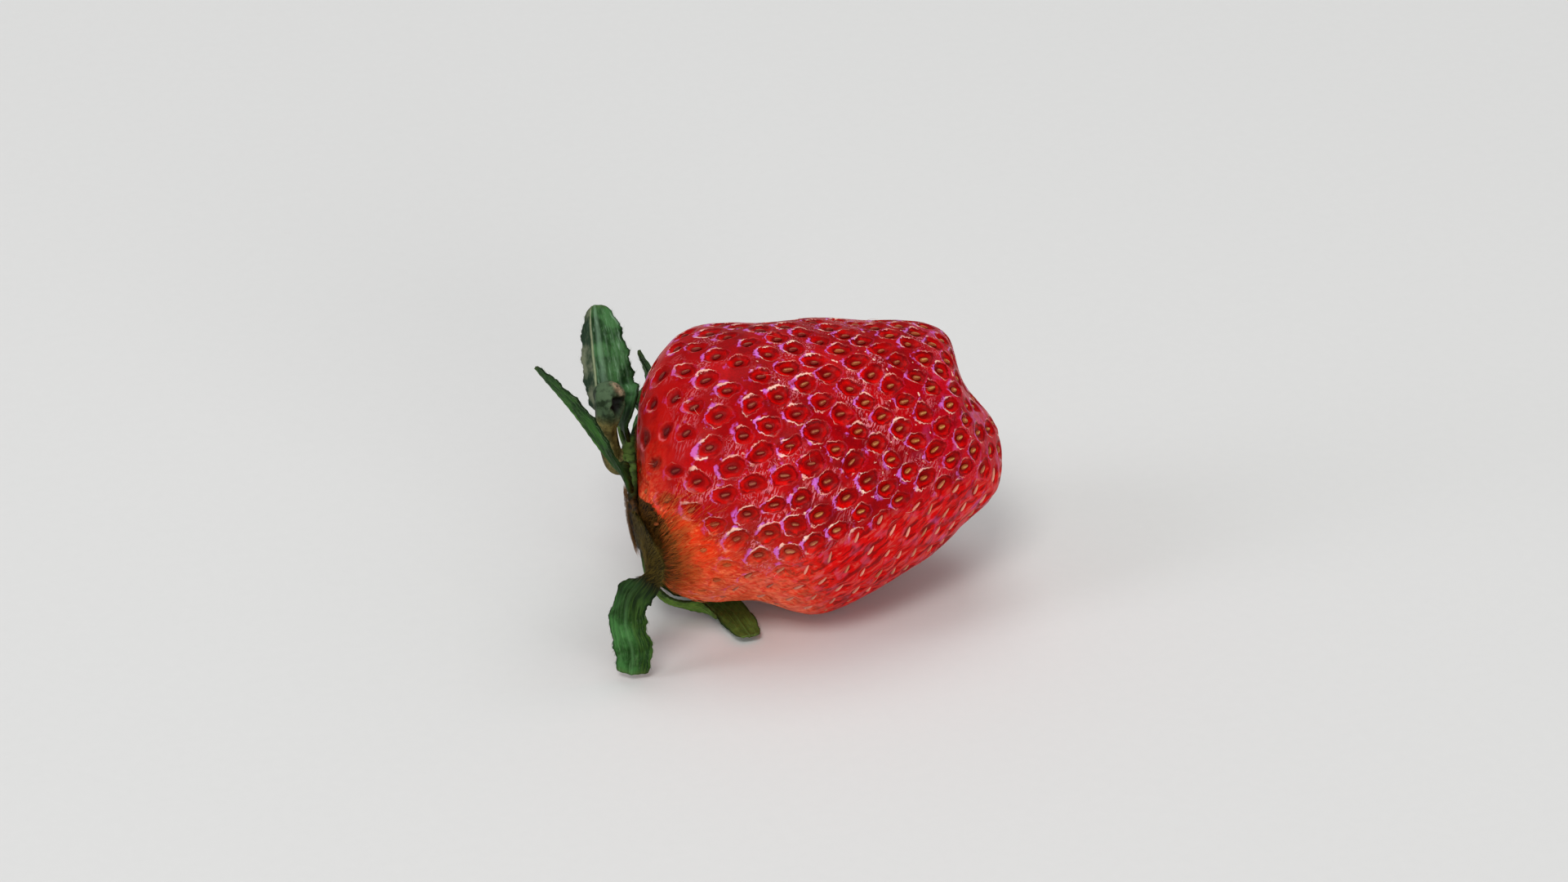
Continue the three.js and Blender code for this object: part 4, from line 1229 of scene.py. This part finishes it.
def make_hairs(seeds, rng):
    def many(count):
        return int(count * HAIR_SHARE)

    def lower_near(gen, n):
        return np.clip(gen.normal(138, 17, n), 102, 178)

    def low_crown(gen, n):
        return gen.uniform(92, 178, n)

    def anywhere(gen, n):
        return gen.uniform(0, 360, n)

    golden = hair_material("hair_golden", rgb(10, 5, 1), rgb(136, 92, 36))
    collar = [
        skin_hairs(rng, many(2400), (19, 43), lower_near, (1.2, 3.0), (0.02, 0.25), 0.014),
        skin_hairs(rng, many(1000), (8, 19), low_crown, (1.0, 2.2), (1.3, 0.4), 0.014),
        skin_hairs(rng, many(300), (17, 21), anywhere, (0.5, 1.2), (0.02, 0.3), 0.014),
        wool(rng, "sepal_under", many(200), 0.3, (0.5, 1.2)),
    ]
    hair_object("collar_hairs", collar, rng, golden)
    olive = hair_material("hair_olive", rgb(10, 8, 1), rgb(116, 96, 36))
    soft = [wool(rng, "sepal_lower", many(1500), 0.42, (0.8, 2.0))]
    hair_object("sepal_wool", soft, rng, olive)
    peach = hair_material("hair_peach", rgb(206, 66, 14), rgb(246, 142, 70))
    unripe = [
        skin_hairs(rng, many(700), (41, 62), lower_near, (0.8, 1.8), (0.02, 0.08), 0.012),
        skin_hairs(rng, many(900), (37, 50), lower_near, (1.4, 3.0), (0.05, 0.3), 0.015),
    ]
    hair_object("shoulder_hairs", unripe, rng, peach)
    pale = hair_material("hair_pale", rgb(60, 90, 52), rgb(126, 150, 110))
    hair_object("blade_hairs", [blade_hairs(rng, many(500))], rng, pale)
    thread = hair_material("style_thread", rgb(176, 84, 60), rgb(236, 178, 160), 0.35)
    hair_object("styles", [styles(seeds, rng)], rng, thread)


# ---- the scene --------------------------------------------------------------------------------
VIEW_SIZE = (1920, 1080)  # pixels
ORIGIN_PIXEL = (1000, 575)  # the pixel at which the middle of the berry's own frame is seen
PIXELS_PER_MM = 10.2
LENS = 120.0
SENSOR = 36.0
FLOOR_HALF = 3.0  # metres
FLOOR_DROP = 0.0002
SKY = 0.36
LIT_HEIGHT = 0.015  # of the point that the lights look at
# Name, place, width and height, power and colour of each light.
LIGHTS = (
    ("key", (-1.0, -1.6, 2.4), (1.0, 1.0), 38.0, (1.0, 0.98, 0.96)),
    ("overhead", (0.2, 0.8, 3.0), (2.0, 2.0), 28.0, (1.0, 1.0, 1.0)),
    ("left_window", (-2.0, -0.2, 1.0), (0.6, 1.6), 12.0, (0.95, 0.93, 1.0)),
    ("front", (0.5, -2.8, 0.6), (1.6, 1.0), 26.0, (1.0, 0.98, 0.97)),
)


def make_camera():
    data = bpy.data.cameras.new("camera")
    data.lens = LENS
    data.sensor_width = SENSOR
    data.clip_start, data.clip_end = 0.01, 20.0
    camera = bpy.data.objects.new("camera", data)
    bpy.context.scene.collection.objects.link(camera)
    distance = VIEW_SIZE[0] / PIXELS_PER_MM / SENSOR * LENS
    right = (VIEW_SIZE[0] / 2 - ORIGIN_PIXEL[0]) / PIXELS_PER_MM
    up = (ORIGIN_PIXEL[1] - VIEW_SIZE[1] / 2) / PIXELS_PER_MM
    aim = place(np.array([right, up, 0.0]))
    camera.location = Vector((aim + OUT_W * distance) * MM)
    camera.rotation_mode = "QUATERNION"
    camera.rotation_quaternion = Vector(-OUT_W).to_track_quat("-Z", "Y")
    bpy.context.scene.camera = camera


def area_light(name, where, size, power, color):
    data = bpy.data.lights.new(name, "AREA")
    data.shape = "RECTANGLE"
    data.size, data.size_y = size
    data.energy = power
    data.color = color
    light = bpy.data.objects.new(name, data)
    light.location = where
    light.rotation_mode = "QUATERNION"
    light.rotation_quaternion = (Vector((0, 0, LIT_HEIGHT)) - Vector(where)).to_track_quat("-Z", "Y")
    bpy.context.scene.collection.objects.link(light)


def make_stage():
    p = Paint("floor_paint")
    grain = p.noise(1.5, 3.0)
    color = p.mix(grain, rgb(214, 215, 214), rgb(217, 218, 217))
    material = p.finish(color, 0.9, p.bumps((grain, 0.02, 0.2)), Specular_IOR_Level=0.1)
    mesh = bpy.data.meshes.new("floor")
    r = FLOOR_HALF
    mesh.from_pydata([(-r, -r, 0), (r, -r, 0), (r, r, 0), (-r, r, 0)], [], [(0, 1, 2, 3)])
    floor = bpy.data.objects.new("floor", mesh)
    floor.location.z = -FLOOR_DROP
    floor.data.materials.append(material)
    bpy.context.scene.collection.objects.link(floor)

    world = bpy.data.worlds.new("studio")
    world.use_nodes = True
    background = world.node_tree.nodes["Background"]
    background.inputs["Color"].default_value = (1.0, 1.0, 1.0, 1.0)
    background.inputs["Strength"].default_value = SKY
    bpy.context.scene.world = world
    for light in LIGHTS:
        area_light(*light)
    view = bpy.context.scene.view_settings
    view.view_transform = "Standard"
    view.look = "None"
    view.exposure = 0.0
    view.gamma = 1.0


def build():
    rng = np.random.default_rng(4)
    make_camera()
    seeds = seed_directions()
    make_fruit(seeds)
    make_seeds(seeds, rng)
    leaves = {
        kind: leaf_material("leaf_" + kind, *(rgb(*color) for color in colors))
        for kind, colors in LEAVES.items()
    }
    for name, sepal in SEPALS.items():
        make_sepal(name + "_blade", name, sepal, leaves[sepal["leaf"]])
    make_crown(woody_material(
        "crown_tissue", rgb(50, 56, 14), rgb(92, 100, 42), rgb(34, 54, 14), rgb(72, 100, 40)
    ))
    make_stem(woody_material(
        "stem_tissue", rgb(58, 52, 14), rgb(112, 102, 54), rgb(30, 46, 24), rgb(72, 94, 66)
    ))
    make_hairs(seeds, rng)
    make_stage()


build()


def corners(box):
    return [[float(c) for c in corner] for corner in box]
